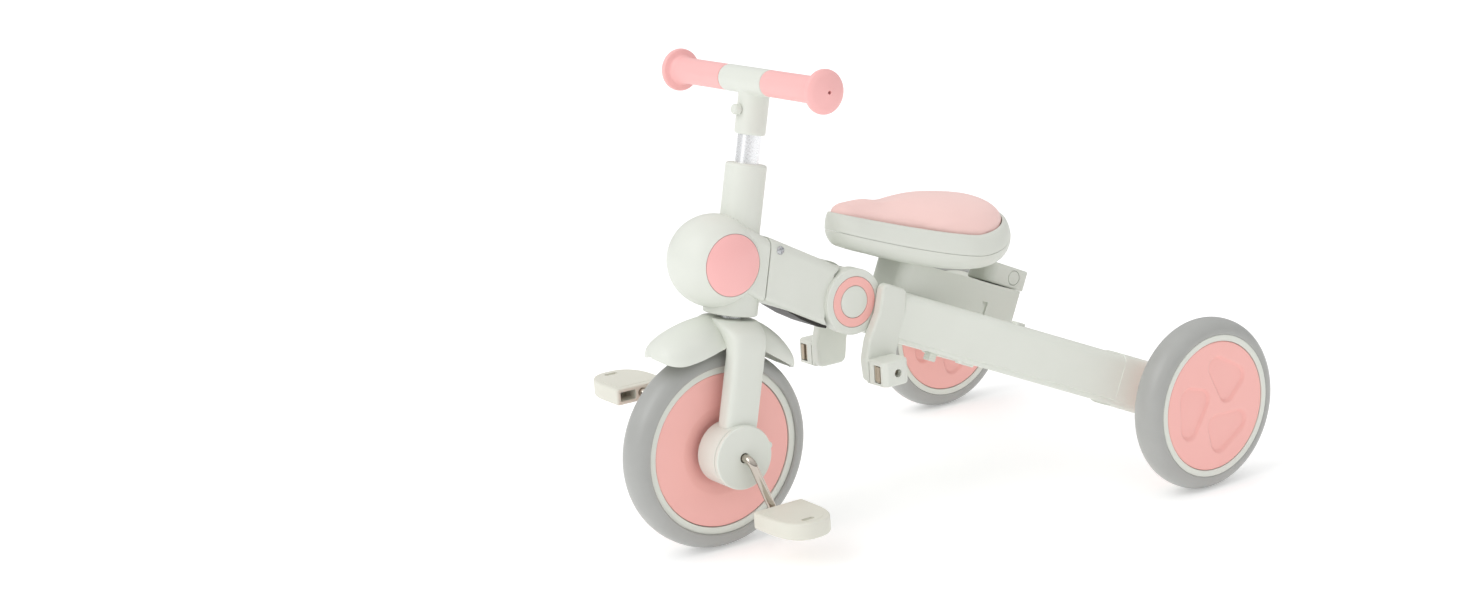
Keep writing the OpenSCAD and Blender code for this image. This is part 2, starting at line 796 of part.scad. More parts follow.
// Disc on each face of the wheel, with three drop-shaped hollows; the inner one clears the axle's spacer
module rear_disc(side) {
    face = rear_tyre_w / 2 - 1;
    color(PINK) at_rear_axle(side) for (s = [-1, 1]) on_side(side * s) difference() {
        turned_x([[face - 5, 0], [face - 5, rear_disc_d / 2], [face - 1.5, rear_disc_d / 2],
                  [face, rear_disc_d / 2 - 2], [face, 0]]);
        if (s < 0) rod_x(rear_axle_r + 8, face - 6, face + 1);
        for (a = [40 : 120 : 280]) rotate([a, 0, 0]) {
            translate([0, 34, 0]) rod_x(15, face - 3, face + 1);
            translate([0, 26, 14]) rod_x(9, face - 3, face + 1);
        }
    }
}

module rear_tyre_left() { rear_tyre(1); }
module rear_tyre_right() { rear_tyre(-1); }
module rear_rim_left() { rear_rim(1); }
module rear_rim_right() { rear_rim(-1); }
module rear_disc_left() { rear_disc(1); }
module rear_disc_right() { rear_disc(-1); }

// ---------- saddle ----------

// Half width of the saddle at y, for an outline inset by d
function rise(t) = t * t * (3 - 2 * t);
function seat_side(y, d) = y > tail_mid_y
    ? (seat_half - d) * sqrt(max(1 - pow((y - tail_mid_y) / (seat_half - d), 2), 0))
    : (nose_half - d + (seat_half - nose_half) * rise(max((y - nose_y) / (tail_mid_y - nose_y), 0)))
      * sqrt(max(1 - pow(max(nose_y + nose_half - y, 0) / (nose_half - d), 2), 0));
// How far y lies in front of the saddle's low point, as a share of the front stretch
function ahead(y) = max((low_y - y) / (low_y - nose_y), 0);
function behind(y) = max((y - low_y) / 64, 0);
function part_z(y) = fold_z + 27.5 + 59.5 * pow(ahead(y), 1.25) + 12 * pow(behind(y), 2);
function rim_z(y) = fold_z + 50 + 46 * pow(ahead(y), 1.25) + 10 * pow(behind(y), 2);
function base_z(y) = fold_z + 12 + 55 * pow(ahead(y), 1.6) + 9 * pow(behind(y), 2);
function crest_z(y) = rim_z(y) + 8 + 34 * pow(sin(180 * pow(min(max((y - nose_y) / seat_len, 0), 1), 1.35)), 0.8);

// Stations from nose to tail, closer together at both ends
stations = 22;
function station(i, d) = let (t = (1 - cos(180 * i / stations)) / 2)
    nose_y + d + 0.4 + (seat_len - 2 * d - 0.8) * t;

// Closed skin through equal rings of points, one ring a station
module loft(rings) {
    n = len(rings[0]);
    m = len(rings);
    polyhedron(
        points = [for (r = rings) for (p = r) p],
        faces = concat(
            [[for (j = [n - 1 : -1 : 0]) j]],
            [for (i = [0 : m - 2]) for (j = [0 : n - 1]) for (k = [0, 1])
                let (a = i * n + j, b = i * n + (j + 1) % n, c = a + n, e = b + n)
                k == 0 ? [a, b, c] : [b, e, c]],
            [[for (j = [0 : n - 1]) (m - 1) * n + j]]));
}

// Height of a loop's points: shares of the base, parting and rim heights, and an offset
function mix_z(y, m) = m[0] * base_z(y) + m[1] * part_z(y) + m[2] * rim_z(y) + m[3];

// Loop round the saddle: down its right side from nose to tail, and back along its left side
function loop(d, m) = concat(
    [for (i = [0 : stations]) let (y = station(i, d)) [-max(seat_side(y, d), 0.5), y, mix_z(y, m)]],
    [for (i = [stations : -1 : 0]) let (y = station(i, d)) [max(seat_side(y, d), 0.5), y, mix_z(y, m)]]);

// Closed skin from loop to loop: its first loop is its floor, its last one is its lid
module skin(loops) {
    n = 2 * (stations + 1);
    last = (len(loops) - 1) * n;
    polyhedron(
        points = [for (l = loops) for (p = l) p],
        faces = concat(
            [for (i = [0 : stations - 1]) for (k = [0, 1])
                k == 0 ? [i, n - 1 - i, n - 2 - i] : [i, n - 2 - i, i + 1]],
            [for (i = [0 : len(loops) - 2]) for (j = [0 : n - 1]) for (k = [0, 1])
                let (a = i * n + j, b = i * n + (j + 1) % n, c = a + n, e = b + n)
                k == 0 ? [a, b, e] : [a, e, c]],
            [for (i = [0 : stations - 1]) for (k = [0, 1])
                k == 0 ? [last + i, last + i + 1, last + n - 2 - i]
                       : [last + i, last + n - 2 - i, last + n - 1 - i]]));
}

module seat_shell_lower() {
    color(CREAM) skin([
        loop(9, [1, 0, 0, 0]), loop(4, [0.85, 0.15, 0, 0]), loop(1, [0.5, 0.5, 0, 0]), loop(0, [0, 1, 0, -0.1]),
        loop(shell_wall, [0, 1, 0, -0.1]), loop(4 + shell_wall, [0.8, 0.2, 0, 1]), loop(12, [1, 0, 0, shell_wall])]);
}

module seat_shell_upper() {
    color(CREAM) skin([
        loop(0.6, [0, 1, 0, 0.1]), loop(2, [0, 0.5, 0.5, 0]), loop(6, [0, 0.12, 0.88, 0]),
        loop(8, [0, 0, 1, 0]), loop(8.2, [0, 1, 0, 4])]);
}

// Cushion: flat under, crowned above
module seat_cushion() {
    inset = 9;
    color(PINK) loft([for (i = [0 : stations]) let (y = station(i, inset), w = max(seat_side(y, inset), 0.5))
        concat([[-w, y, part_z(y) + 4.5], [w, y, part_z(y) + 4.5]],
               [for (a = [0 : 22.5 : 180]) [w * cos(a), y, rim_z(y) - 4 + (crest_z(y) - rim_z(y) + 4) * sin(a)]])]);
}

// Rear frame coordinates of a point of the side view
function to_rear(y, z) = let (c = cos(rear_tilt), s = sin(rear_tilt))
    [(y - fold_y) * c - (z - fold_z) * s, (y - fold_y) * s + (z - fold_z) * c];

// Carrier under the saddle: its top follows the saddle's underside
module seat_carrier() {
    front_u = leg_root_u + 4;
    low_w = leg_h / 2 + 0.1;
    tops = [for (k = [0 : 8]) to_rear(fold_y + 84 + 8 * k, base_z(fold_y + 84 + 8 * k) - 0.4)];
    rise_to = [for (p = tops) if (p[1] < carrier_top_w) p];
    color(CREAM) at_rear() difference() {
        side_plate(concat([[carrier_end_u, low_w], [carrier_end_u, carrier_top_w],
                           [len(rise_to) > 0 ? rise_to[len(rise_to) - 1][0] + 6 : 120, carrier_top_w]],
                          [for (k = [len(rise_to) - 1 : -1 : 0]) rise_to[k]],
                          [[front_u, rise_to[0][1] - 1], [front_u, low_w]]),
                   -carrier_w / 2, carrier_w / 2);
        side_plate([[front_u + 4, low_w - 1], [front_u + 4, low_w + 20], [carrier_end_u - 4, low_w + 20],
                    [carrier_end_u - 4, low_w - 1]], -carrier_w / 2 + 4, carrier_w / 2 - 4);
        for (s = [-1, 1]) on_side(s) {
            translate([carrier_w / 2 - 1.5, 190, 34]) cube([4, 3, 16]);
            translate([carrier_w / 2 - 1.5, 183, 47]) cube([4, 8, 3]);
        }
    }
}

// Socket for a push handle behind the saddle
module push_socket() {
    color(CREAM) at_rear() difference() {
        side_plate([[188, carrier_top_w + 0.1], [188, 86], [192, 90], [241, 90], [245, 86],
                    [245, carrier_top_w + 0.1]], -22, 22);
        translate([0, 226, 78]) rod_x(8 + fit, 12.5, 60);
        translate([0, 205, 78]) rotate([-90, 0, 0]) cylinder(r = 9, h = 60);
    }
}

module socket_button() {
    color(CREAM) at_rear() translate([0, 226, 78])
        turned_x([[16.2, 0], [16.2, 8], [22, 8], [22.8, 7], [23.2, 0]]);
}

// ---------- pedal holders ----------

// Arm that hangs beside the folding joint, with a box at its foot that a pedal clips into
module pedal_holder(side) {
    arm_in = cheek_out + 1;
    arm_out = arm_in + 13;
    box_out = 80;
    low = -90;
    color(CREAM) translate([0, fold_y, fold_z]) on_side(side) difference() {
        union() {
            side_plate([[27, 18], [62, 3], [57, -30], [40, low + 2], [38, low], [6, low], [3.5, low + 4],
                        [3.5, low + 26], [10, -40], [18, -10]], arm_in, arm_out);
            translate([arm_out - 1, 4, low]) linear_extrude(28) polygon([[0, 0], [box_out - arm_out - 5, 0],
                [box_out - arm_out + 1, 6], [box_out - arm_out + 1, 28], [box_out - arm_out - 5, 35], [0, 35]]);
        }
        translate([arm_out + 12, 3, low + 4]) cube([10, 28.5, 20]);
        translate([arm_out + 2, 22, low + 14]) rod_x(crank_r + 0.4, 0, 60);
        rotate([-rear_tilt, 0, 0]) translate([-100, leg_root_u - 0.1, -leg_h / 2 - 0.1])
            cube([200, 100, leg_h + 0.2]);
    }
}

module pedal_holder_left() { pedal_holder(1); }
module pedal_holder_right() { pedal_holder(-1); }

// Spring clip in the mouth of each box, with a hole for the stored crank
module holder_clips() {
    x = cheek_out + 26.3;
    color("#8a7d6c") translate([0, fold_y, fold_z]) for (s = [-1, 1]) on_side(s) difference() {
        translate([x, 5, -85.7]) cube([9.4, 26.2, 19.4]);
        translate([x + 2, 4, -83.7]) cube([5.4, 25.2, 15.4]);
        translate([0, 22, -76]) rod_x(crank_r + 0.4, 0, 100);
    }
}

head_tube();
head_ball();
ball_cap_left();
ball_cap_right();
head_collar();
headset_bushes();
head_bracket();
beam_shell();
beam_liner();
frame_screws();
fold_knuckle();
fork();
mudguard();
steerer_tube();
hub_drum_left();
hub_drum_right();
hub_cap_left();
hub_cap_right();
front_bearings();
handlebar_stem();
handlebar_tube();
grip_left();
grip_right();
stem_button();
front_tyre();
front_rim();
front_disc_left();
front_disc_right();
axle_sleeve();
crank_left();
crank_right();
pedal_left();
pedal_right();
rear_core();
fold_rings();
fold_pin();
rear_leg_left();
rear_leg_right();
leg_end_left();
leg_end_right();
rear_axles();
seat_carrier();
pedal_holder_left();
pedal_holder_right();
holder_clips();
seat_shell_lower();
seat_shell_upper();
seat_cushion();
push_socket();
fold_button_left();
fold_button_right();
socket_button();
rear_tyre_left();
rear_rim_left();
rear_disc_left();
rear_tyre_right();
rear_rim_right();
rear_disc_right();
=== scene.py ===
"""Looks of a folding children's tricycle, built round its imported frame.

Sizes are in millimetres until a mesh is stored. +Z is up, -Y is forward and +X is the rider's left.
Each sub-assembly is a class that works its surfaces out as numpy grids and dresses them.
"""

from __future__ import annotations

import json
import logging
from dataclasses import dataclass, replace
from enum import Enum

import bmesh
import bpy
import numpy as np
from mathutils import Matrix, Vector

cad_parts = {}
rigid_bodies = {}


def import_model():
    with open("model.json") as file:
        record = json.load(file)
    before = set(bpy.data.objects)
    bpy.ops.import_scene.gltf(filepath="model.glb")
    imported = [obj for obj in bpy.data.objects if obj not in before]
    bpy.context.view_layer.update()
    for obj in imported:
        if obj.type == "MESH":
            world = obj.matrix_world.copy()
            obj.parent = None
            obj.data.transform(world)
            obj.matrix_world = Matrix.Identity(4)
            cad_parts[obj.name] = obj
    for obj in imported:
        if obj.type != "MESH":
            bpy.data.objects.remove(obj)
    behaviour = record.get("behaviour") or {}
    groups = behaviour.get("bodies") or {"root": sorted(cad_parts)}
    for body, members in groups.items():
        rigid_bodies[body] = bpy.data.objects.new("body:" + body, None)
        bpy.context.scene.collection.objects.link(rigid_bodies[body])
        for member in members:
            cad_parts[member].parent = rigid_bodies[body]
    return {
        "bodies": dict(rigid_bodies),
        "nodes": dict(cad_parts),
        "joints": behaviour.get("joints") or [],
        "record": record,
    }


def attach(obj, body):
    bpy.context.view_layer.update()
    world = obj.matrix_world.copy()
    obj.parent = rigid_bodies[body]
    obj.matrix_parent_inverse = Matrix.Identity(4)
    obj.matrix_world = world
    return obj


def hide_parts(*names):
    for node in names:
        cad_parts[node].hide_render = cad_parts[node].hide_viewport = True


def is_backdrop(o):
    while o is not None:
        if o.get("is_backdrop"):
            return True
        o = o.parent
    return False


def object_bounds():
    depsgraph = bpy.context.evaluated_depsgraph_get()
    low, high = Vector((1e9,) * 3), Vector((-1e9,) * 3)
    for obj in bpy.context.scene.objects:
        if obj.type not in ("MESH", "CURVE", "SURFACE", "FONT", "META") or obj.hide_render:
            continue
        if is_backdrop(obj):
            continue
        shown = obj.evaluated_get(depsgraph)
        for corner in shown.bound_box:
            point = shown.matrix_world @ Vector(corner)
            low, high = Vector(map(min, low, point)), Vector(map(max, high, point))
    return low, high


LOG = logging.getLogger("tricycle")
MM = 0.001
Grid = np.ndarray
# Points nearer than this many millimetres are one point.
MERGE = 0.02
# Points round a tyre or rim, and round other turned pieces that show their outline.
WHEEL_AROUND, DRUM_AROUND = 176, 144
# Frames of the cloth simulation.
CLOTH_FRAMES = 20


# ---------- frames ----------


@dataclass(frozen=True)
class Slant:
    """Local frame turned about X, so that its own +Y points rearwards and down by tilt degrees."""

    y: float
    z: float
    tilt: float

    def place(self, points: Grid) -> Grid:
        """Moves points from this frame into the tricycle's own.

        Args:
            points: Array whose last axis is (x, y, z).

        Returns:
            A new array of the same shape: y turned and shifted, z likewise, x kept.
        """
        c, s = np.cos(np.radians(self.tilt)), np.sin(np.radians(self.tilt))
        out = np.array(points, float)
        out[..., 1] = self.y + points[..., 1] * c + points[..., 2] * s
        out[..., 2] = self.z - points[..., 1] * s + points[..., 2] * c
        return out


class Side(Enum):
    """Which side of the tricycle a piece is on, as the sign of x."""

    LEFT = 1
    RIGHT = -1

    @property
    def word(self) -> str:
        """The side's name as the CAD nodes spell it."""
        return self.name.lower()


FRONT_Y, FRONT_R = -239.75, 108.0
REAR_Y, REAR_R = 251.25, 96.5
FOLD_Y, FOLD_Z = -75.75, 241.0
COLUMN = Slant(FRONT_Y, FRONT_R, 12.0)
BEAM = Slant(FOLD_Y, FOLD_Z, 28.3)
REAR = Slant(FOLD_Y, FOLD_Z, 23.82)
FOLD = Slant(FOLD_Y, FOLD_Z, 0.0)
FRONT_HUB = Slant(FRONT_Y, FRONT_R, 0.0)
REAR_HUB = Slant(REAR_Y, REAR_R, 0.0)


# ---------- surfaces ----------


@dataclass
class Shell:
    """Rings of points, joined ring to ring and closed round each ring."""

    points: Grid
    capped: bool = True

    def faces(self, start: int) -> tuple[Grid, list[list[int]]]:
        """Numbers the faces of the shell.

        Args:
            start: Number of the shell's first point in its mesh.

        Returns:
            The four-sided faces as rows, and the two end faces where the shell is capped.
        """
        rings, around = self.points.shape[:2]
        i = np.arange(rings - 1)[:, None] * around
        j = np.arange(around)[None, :]
        k = (j + 1) % around
        quads = np.stack([i + j, i + k, i + around + k, i + around + j], -1).reshape(-1, 4) + start
        if not self.capped:
            return quads, []
        first = (np.arange(around)[::-1] + start).tolist()
        last = (np.arange(around) + start + (rings - 1) * around).tolist()
        return quads, [first, last]

    def moved(self, frame: Slant, shift: tuple[float, float, float] = (0.0, 0.0, 0.0)) -> Shell:
        """The shell shifted and then placed from a local frame."""
        return Shell(frame.place(self.points + np.array(shift, float)), self.capped)

    def on(self, side: Side) -> Shell:
        """The shell, or its mirror image on the right side."""
        return Shell(self.points * np.array([side.value, 1.0, 1.0]), self.capped)


def fillet(points: list | Grid, radius: float | list, steps: int = 5, closed: bool = True) -> Grid:
    """Rounds the corners of a line of points.

    Each corner becomes a circular arc: a rational parabola from one tangent point to the other,
    whose middle weight is the sine of half the corner's angle.

    Args:
        points: Corner points, two or three numbers each.
        radius: One radius, or one for each corner.
        steps: Pieces in each arc.
        closed: Whether the last point joins the first.

    Returns:
        The rounded line without doubled points.
    """
    p = np.asarray(points, float)
    r = np.array(np.broadcast_to(np.asarray(radius, float), (len(p),)))
    before, after = np.roll(p, 1, 0) - p, np.roll(p, -1, 0) - p
    if not closed:
        r[0] = r[-1] = 0.0
    before_len = np.maximum(np.linalg.norm(before, axis=1), 1e-9)
    after_len = np.maximum(np.linalg.norm(after, axis=1), 1e-9)
    a, b = before / before_len[:, None], after / after_len[:, None]
    half = np.maximum(np.arccos(np.clip((a * b).sum(1), -1, 1)) / 2, 1e-3)
    cut = np.minimum(r / np.tan(half), 0.49 * np.minimum(before_len, after_len))
    t = np.linspace(0, 1, steps + 1)[None, :, None]
    weight = np.sin(half)[:, None, None]
    start, end = p + a * cut[:, None], p + b * cut[:, None]
    top = (1 - t) ** 2 * start[:, None] + 2 * t * (1 - t) * weight * p[:, None] + t**2 * end[:, None]
    line = (top / ((1 - t) ** 2 + 2 * t * (1 - t) * weight + t**2)).reshape(-1, p.shape[1])
    step = np.linalg.norm(np.roll(line, -1, 0) - line, axis=1)
    keep = step > 1e-4
    if not closed:
        keep[-1] = True
    return line[keep]


def smooth_line(points: list | Grid, count: int) -> Grid:
    """Carries a smooth curve through points, evenly along its chords.

    Each stretch is a Catmull-Rom cubic: its slope at a point is half the step between neighbours.

    Args:
        points: Points of any number of coordinates.
        count: Number of points in the result.

    Returns:
        The curve as an array of that many rows.
    """
    p = np.asarray(points, float)
    if p.ndim == 1:
        p = p[:, None]
    ends = np.vstack([2 * p[0] - p[1], p, 2 * p[-1] - p[-2]])
    u = np.linspace(0, len(p) - 1 - 1e-9, count)
    i = u.astype(int)
    t = (u - i)[:, None]
    a, b, c, d = ends[i], ends[i + 1], ends[i + 2], ends[i + 3]
    return 0.5 * (2 * b + (c - a) * t + (2 * a - 5 * b + 4 * c - d) * t**2 + (3 * b - a - 3 * c + d) * t**3)


def plate(outline: list | Grid, low: float, high: float, edge: float, steps: int = 4) -> Grid:
    """Prism on an outline, with its rims rounded.

    Ring by ring the outline shrinks along its mitred inward normals by edge times one less the sine
    of the rim's angle, while it rises by edge times one less the cosine.

    Args:
        outline: Closed outline of (a, b) points, corners already rounded.
        low: Height of the floor.
        high: Height of the lid.
        edge: Radius of the rims.
        steps: Pieces in each rim.

    Returns:
        Rings of (a, b, height) points.
    """
    line = np.asarray(outline, float)
    nxt = np.roll(line, -1, 0)
    if (line[:, 0] * nxt[:, 1] - line[:, 1] * nxt[:, 0]).sum() < 0:
        line = line[::-1]
        nxt = np.roll(line, -1, 0)
    way = (nxt - line) / np.linalg.norm(nxt - line, axis=1)[:, None]
    inward = np.stack([-way[:, 1], way[:, 0]], 1)
    other = np.roll(inward, 1, 0)
    mitre = (inward + other) / np.maximum(1 + (inward * other).sum(1), 0.3)[:, None]
    angle = np.linspace(0, np.pi / 2, steps + 1)
    shrink, lift = edge * (1 - np.sin(angle)), edge * (1 - np.cos(angle))
    shrinks = np.concatenate([shrink, shrink[::-1]])
    heights = np.concatenate([low + lift, high - lift[::-1]])
    flat = line[None] + shrinks[:, None, None] * mitre[None]
    return np.concatenate([flat, np.broadcast_to(heights[:, None, None], flat.shape[:2] + (1,))], 2)


def across(rings: Grid) -> Grid:
    """Turns (fore and aft, up, across) points into (x, y, z)."""
    return rings[..., [2, 0, 1]]


def lathe(profile: list | Grid, axis: str = "x", around: int = 112) -> Grid:
    """Turns a profile round an axis: each point's circle has its radius.

    Args:
        profile: Rows of (place along the axis, radius).
        axis: The letter x or z.
        around: Points in each circle.

    Returns:
        Rings of points about that axis.
    """
    p = np.asarray(profile, float)
    t = np.linspace(0, 2 * np.pi, around, endpoint=False)[None, :]
    along = np.broadcast_to(p[:, :1], (len(p), around))
    one, two = p[:, 1:] * np.cos(t), p[:, 1:] * np.sin(t)
    return np.stack([along, one, two] if axis == "x" else [one, two, along], -1)


def ring(profile: list | Grid, axis: str = "x", around: int = 112) -> Shell:
    """Shell of a closed profile that doesn't reach the axis."""
    p = np.asarray(profile, float)
    return Shell(lathe(np.vstack([p, p[:1]]), axis, around), capped=False)


def squircle(half_a: Grid, half_b: Grid, power: Grid, around: int) -> tuple[Grid, Grid]:
    """Superellipse: each coordinate is its half width times a power of the cosine or sine.

    Args:
        half_a: Half widths, one for each ring.
        half_b: Half depths, one for each ring.
        power: Two for an ellipse, more for a squarer shape, one for each ring.
        around: Points in each ring.

    Returns:
        The two coordinates, ring by ring.
    """
    t = np.linspace(0, 2 * np.pi, around, endpoint=False)[None, :]
    c, s, k = np.cos(t), np.sin(t), 2 / np.asarray(power, float)[:, None]
    a = np.asarray(half_a, float)[:, None] * np.sign(c) * np.abs(c) ** k
    b = np.asarray(half_b, float)[:, None] * np.sign(s) * np.abs(s) ** k
    return a, b


def tube(path: Grid, radius: float, normal: tuple[float, float, float], around: int = 32) -> Grid:
    """Round rod along a path that lies in one plane.

    Each ring stands square to the path's slope: it mixes the plane's normal with the direction
    square to both, by cosine and sine.

    Args:
        path: Points of the rod's middle.
        radius: The rod's radius.
        normal: Normal of the path's plane.
        around: Points in each ring.

    Returns:
        Rings of points.
    """
    slope = np.gradient(path, axis=0)
    slope /= np.linalg.norm(slope, axis=1)[:, None]
    n = np.asarray(normal, float)
    b = np.cross(slope, n)
    t = np.linspace(0, 2 * np.pi, around, endpoint=False)
    return path[:, None] + radius * (np.cos(t)[None, :, None] * n + np.sin(t)[None, :, None] * b[:, None])


def soft_box(low: tuple, high: tuple, corner: float, edge: float) -> Shell:
    """Box from its low to its high corner: upright corners and rims rounded."""
    outline = [(low[0], low[1]), (high[0], low[1]), (high[0], high[1]), (low[0], high[1])]
    return Shell(plate(fillet(outline, corner), low[2], high[2], edge))


# ---------- finishes ----------


def linear(code: str) -> tuple[float, float, float, float]:
    """Turns an sRGB hex colour into Blender's linear one.

    Below 0.04045 a channel is divided by 12.92. Above, it is ((v + 0.055) / 1.055) to the power 2.4.

    Args:
        code: Hex code such as #a0b0c0.

    Returns:
        Red, green, blue and an alpha of one.
    """
    v = np.array([int(code[i : i + 2], 16) for i in (1, 3, 5)]) / 255
    v = np.where(v <= 0.04045, v / 12.92, ((v + 0.055) / 1.055) ** 2.4)
    return float(v[0]), float(v[1]), float(v[2]), 1.0


def add(tree: bpy.types.NodeTree, kind: str, inputs: dict | None = None, **settings) -> bpy.types.Node:
    """Adds a node.

    Args:
        tree: The material's node tree.
        kind: Blender's name of the node type.
        inputs: Socket name or number to a value, or to another node's output socket.
        **settings: The node's own properties.

    Returns:
        The new node.
    """
    made = tree.nodes.new(kind)
    for name, value in settings.items():
        setattr(made, name, value)
    for name, value in (inputs or {}).items():
        if isinstance(value, bpy.types.NodeSocket):
            tree.links.new(value, made.inputs[name])
        else:
            made.inputs[name].default_value = value
    return made


@dataclass(frozen=True)
class Finish:
    """Surface of one kind of material: a colour that varies a little, and a fine grain."""

    name: str
    slot: str
    light: str
    dark: str
    rough: float
    rough_spread: float = 0.05
    metal: float = 0.0
    coat: float = 0.0
    sheen: float = 0.0
    specular: float = 0.5
    grain_mm: float = 0.6
    grain_depth: float = 0.02
    cloud_mm: float = 45.0

    def shader(self, tree: bpy.types.NodeTree, place: bpy.types.NodeSocket) -> bpy.types.Node:
        """Adds the shader and its colour, roughness and grain.

        Args:
            tree: The material's node tree.
            place: Object coordinates.

        Returns:
            The shader's node.
        """
        cloud = add(tree, "ShaderNodeTexNoise",
                    {"Vector": place, "Scale": 1 / (self.cloud_mm * MM), "Detail": 3.0})
        tint = add(tree, "ShaderNodeMix",
                   {0: cloud.outputs["Fac"], 6: linear(self.light), 7: linear(self.dark)}, data_type="RGBA")
        fine = add(tree, "ShaderNodeTexNoise",
                   {"Vector": place, "Scale": 1 / (self.grain_mm * MM), "Detail": 2.0})
        worn = add(tree, "ShaderNodeMapRange", {"Value": fine.outputs["Fac"],
                                                "To Min": self.rough - self.rough_spread,
                                                "To Max": self.rough + self.rough_spread})
        bump = add(tree, "ShaderNodeBump", {"Height": self.relief(tree, place, fine), "Strength": 0.6,
                                            "Distance": self.grain_depth * MM})
        return add(tree, "ShaderNodeBsdfPrincipled", {
            "Base Color": tint.outputs[2], "Roughness": worn.outputs[0], "Normal": bump.outputs[0],
            "Metallic": self.metal, "Coat Weight": self.coat, "Coat Roughness": 0.2,
            "Sheen Weight": self.sheen, "Specular IOR Level": self.specular})

    def relief(self, tree: bpy.types.NodeTree, place: bpy.types.NodeSocket,
               fine: bpy.types.Node) -> bpy.types.NodeSocket:
        """The height that the bump reads: the fine grain itself."""
        return fine.outputs["Fac"]

    def material(self) -> bpy.types.Material:
        """The finish's material, made once.

        Returns:
            The material, new or found by its name.
        """
        found = bpy.data.materials.get(self.name)
        if found:
            return found
        made = bpy.data.materials.new(self.name)
        made.use_nodes = True
        tree = made.node_tree
        tree.nodes.clear()
        place = add(tree, "ShaderNodeTexCoord").outputs["Object"]
        shader = self.shader(tree, place)
        add(tree, "ShaderNodeOutputMaterial", {"Surface": shader.outputs[0]})
        return made


@dataclass(frozen=True)
class PebbledFinish(Finish):
    """Finish whose grain is rounded pebbles, as on imitation leather."""

    pebble_mm: float = 1.3

    def relief(self, tree: bpy.types.NodeTree, place: bpy.types.NodeSocket,
               fine: bpy.types.Node) -> bpy.types.NodeSocket:
        """The distance to the nearest pebble's middle, less the fine grain.

        Args:
            tree: The material's node tree.
            place: Object coordinates.
            fine: The fine grain's node.

        Returns:
            The socket that holds the height.
        """
        pebble = add(tree, "ShaderNodeTexVoronoi", {"Vector": place, "Scale": 1 / (self.pebble_mm * MM)},
                     feature="SMOOTH_F1")
        mixed = add(tree, "ShaderNodeMath", {0: pebble.outputs["Distance"], 1: fine.outputs["Fac"]},
                    operation="SUBTRACT")
        return mixed.outputs[0]


@dataclass(frozen=True)
class DrawnFinish(Finish):
    """Finish with fine lines round the piece, as a turned or drawn tube has."""

    line_mm: float = 0.8

    def relief(self, tree: bpy.types.NodeTree, place: bpy.types.NodeSocket,
               fine: bpy.types.Node) -> bpy.types.NodeSocket:
        """Noise squeezed along the piece's height, so that it reads as rings.

        Args:
            tree: The material's node tree.
            place: Object coordinates.
            fine: The fine grain's node, which this finish leaves out.

        Returns:
            The socket that holds the height.
        """
        squeezed = add(tree, "ShaderNodeMapping",
                       {"Vector": place, "Scale": (20.0, 20.0, 1 / (self.line_mm * MM))})
        return add(tree, "ShaderNodeTexNoise", {"Vector": squeezed.outputs[0], "Scale": 1.0}).outputs["Fac"]


# Moulded polypropylene: a satin skin with a spark-eroded grain too fine to see, so it is drawn coarser.
CREAM = Finish("moulded_cream_polypropylene", "cream_plastic", "#e3e6de", "#dde0d7", 0.42, grain_mm=0.5)
# Moulded pink ABS: a little glossier, a very even colour.
PINK = Finish("moulded_pink_abs", "pink_plastic", "#fcbeb7", "#f9b9b2", 0.38, grain_mm=0.5, grain_depth=0.015)
# The same ABS in the ball's caps, polished in the mould, so that it looks lighter and clearer.
BLUSH = Finish("polished_pink_abs", "pink_plastic", "#ffc0be", "#fdbcba", 0.32, grain_mm=0.5,
               grain_depth=0.01)
# Soft PVC grip: dull with a faint bloom.
GRIP = Finish("soft_pink_pvc", "pink_grip", "#fbbfbd", "#f8b8b6", 0.5, sheen=0.1, grain_mm=0.7)
# Foamed EVA tyre: matte skin, small pores, a soft shine at a glancing angle.
TYRE = Finish("foamed_grey_eva", "grey_tyre", "#b0b1ae", "#a5a6a3", 0.34, rough_spread=0.08, grain_mm=1.0,
              grain_depth=0.05, cloud_mm=30.0)
# Glass-filled nylon of the pedals: dull and a little warm.
NYLON = Finish("moulded_nylon", "nylon", "#e4e3d8", "#dddcd0", 0.5, grain_mm=0.6, grain_depth=0.03)
# Polyurethane leather over foam: pebbled, with a low sheen.
PU_LEATHER = PebbledFinish("pink_polyurethane_leather", "pink_cushion", "#fedad4", "#fbd5cf", 0.55,
                           sheen=0.15, grain_mm=0.4, grain_depth=0.05, pebble_mm=1.3)
# Nickel-plated steel rod: bright, slightly warm.
NICKEL = Finish("nickel_plated_steel", "crank_chrome", "#cdc5bb", "#bcb4aa", 0.13, rough_spread=0.03,
                metal=1.0, grain_mm=2.0, grain_depth=0.004)
# Anodised drawn aluminium: soft bright bands.
ANODISED = DrawnFinish("anodised_aluminium", "satin_tube", "#fafbfc", "#eff2f5", 0.28, metal=0.6,
                       grain_depth=0.003)
# Zinc-plated steel of screws, axles and bearings.
ZINC = Finish("zinc_plated_steel", "bright_steel", "#c8cacd", "#b9bbbe", 0.28, metal=1.0, grain_mm=1.2,
              grain_depth=0.006)
# Spring steel with a temper tint.
SPRING = Finish("tempered_spring_steel", "clip_steel", "#c4b8a4", "#ab9d89", 0.35, metal=0.5, grain_mm=1.0)
# Black polypropylene under the beam.
BLACK = Finish("black_polypropylene", "black_plastic", "#2b2724", "#211e1b", 0.5, grain_mm=0.6)
# Black e-coated steel of the knuckle.
BLACK_STEEL = Finish("black_coated_steel", "black_metal", "#2b2724", "#211e1b", 0.4, grain_mm=0.8)


# ---------- making pieces ----------


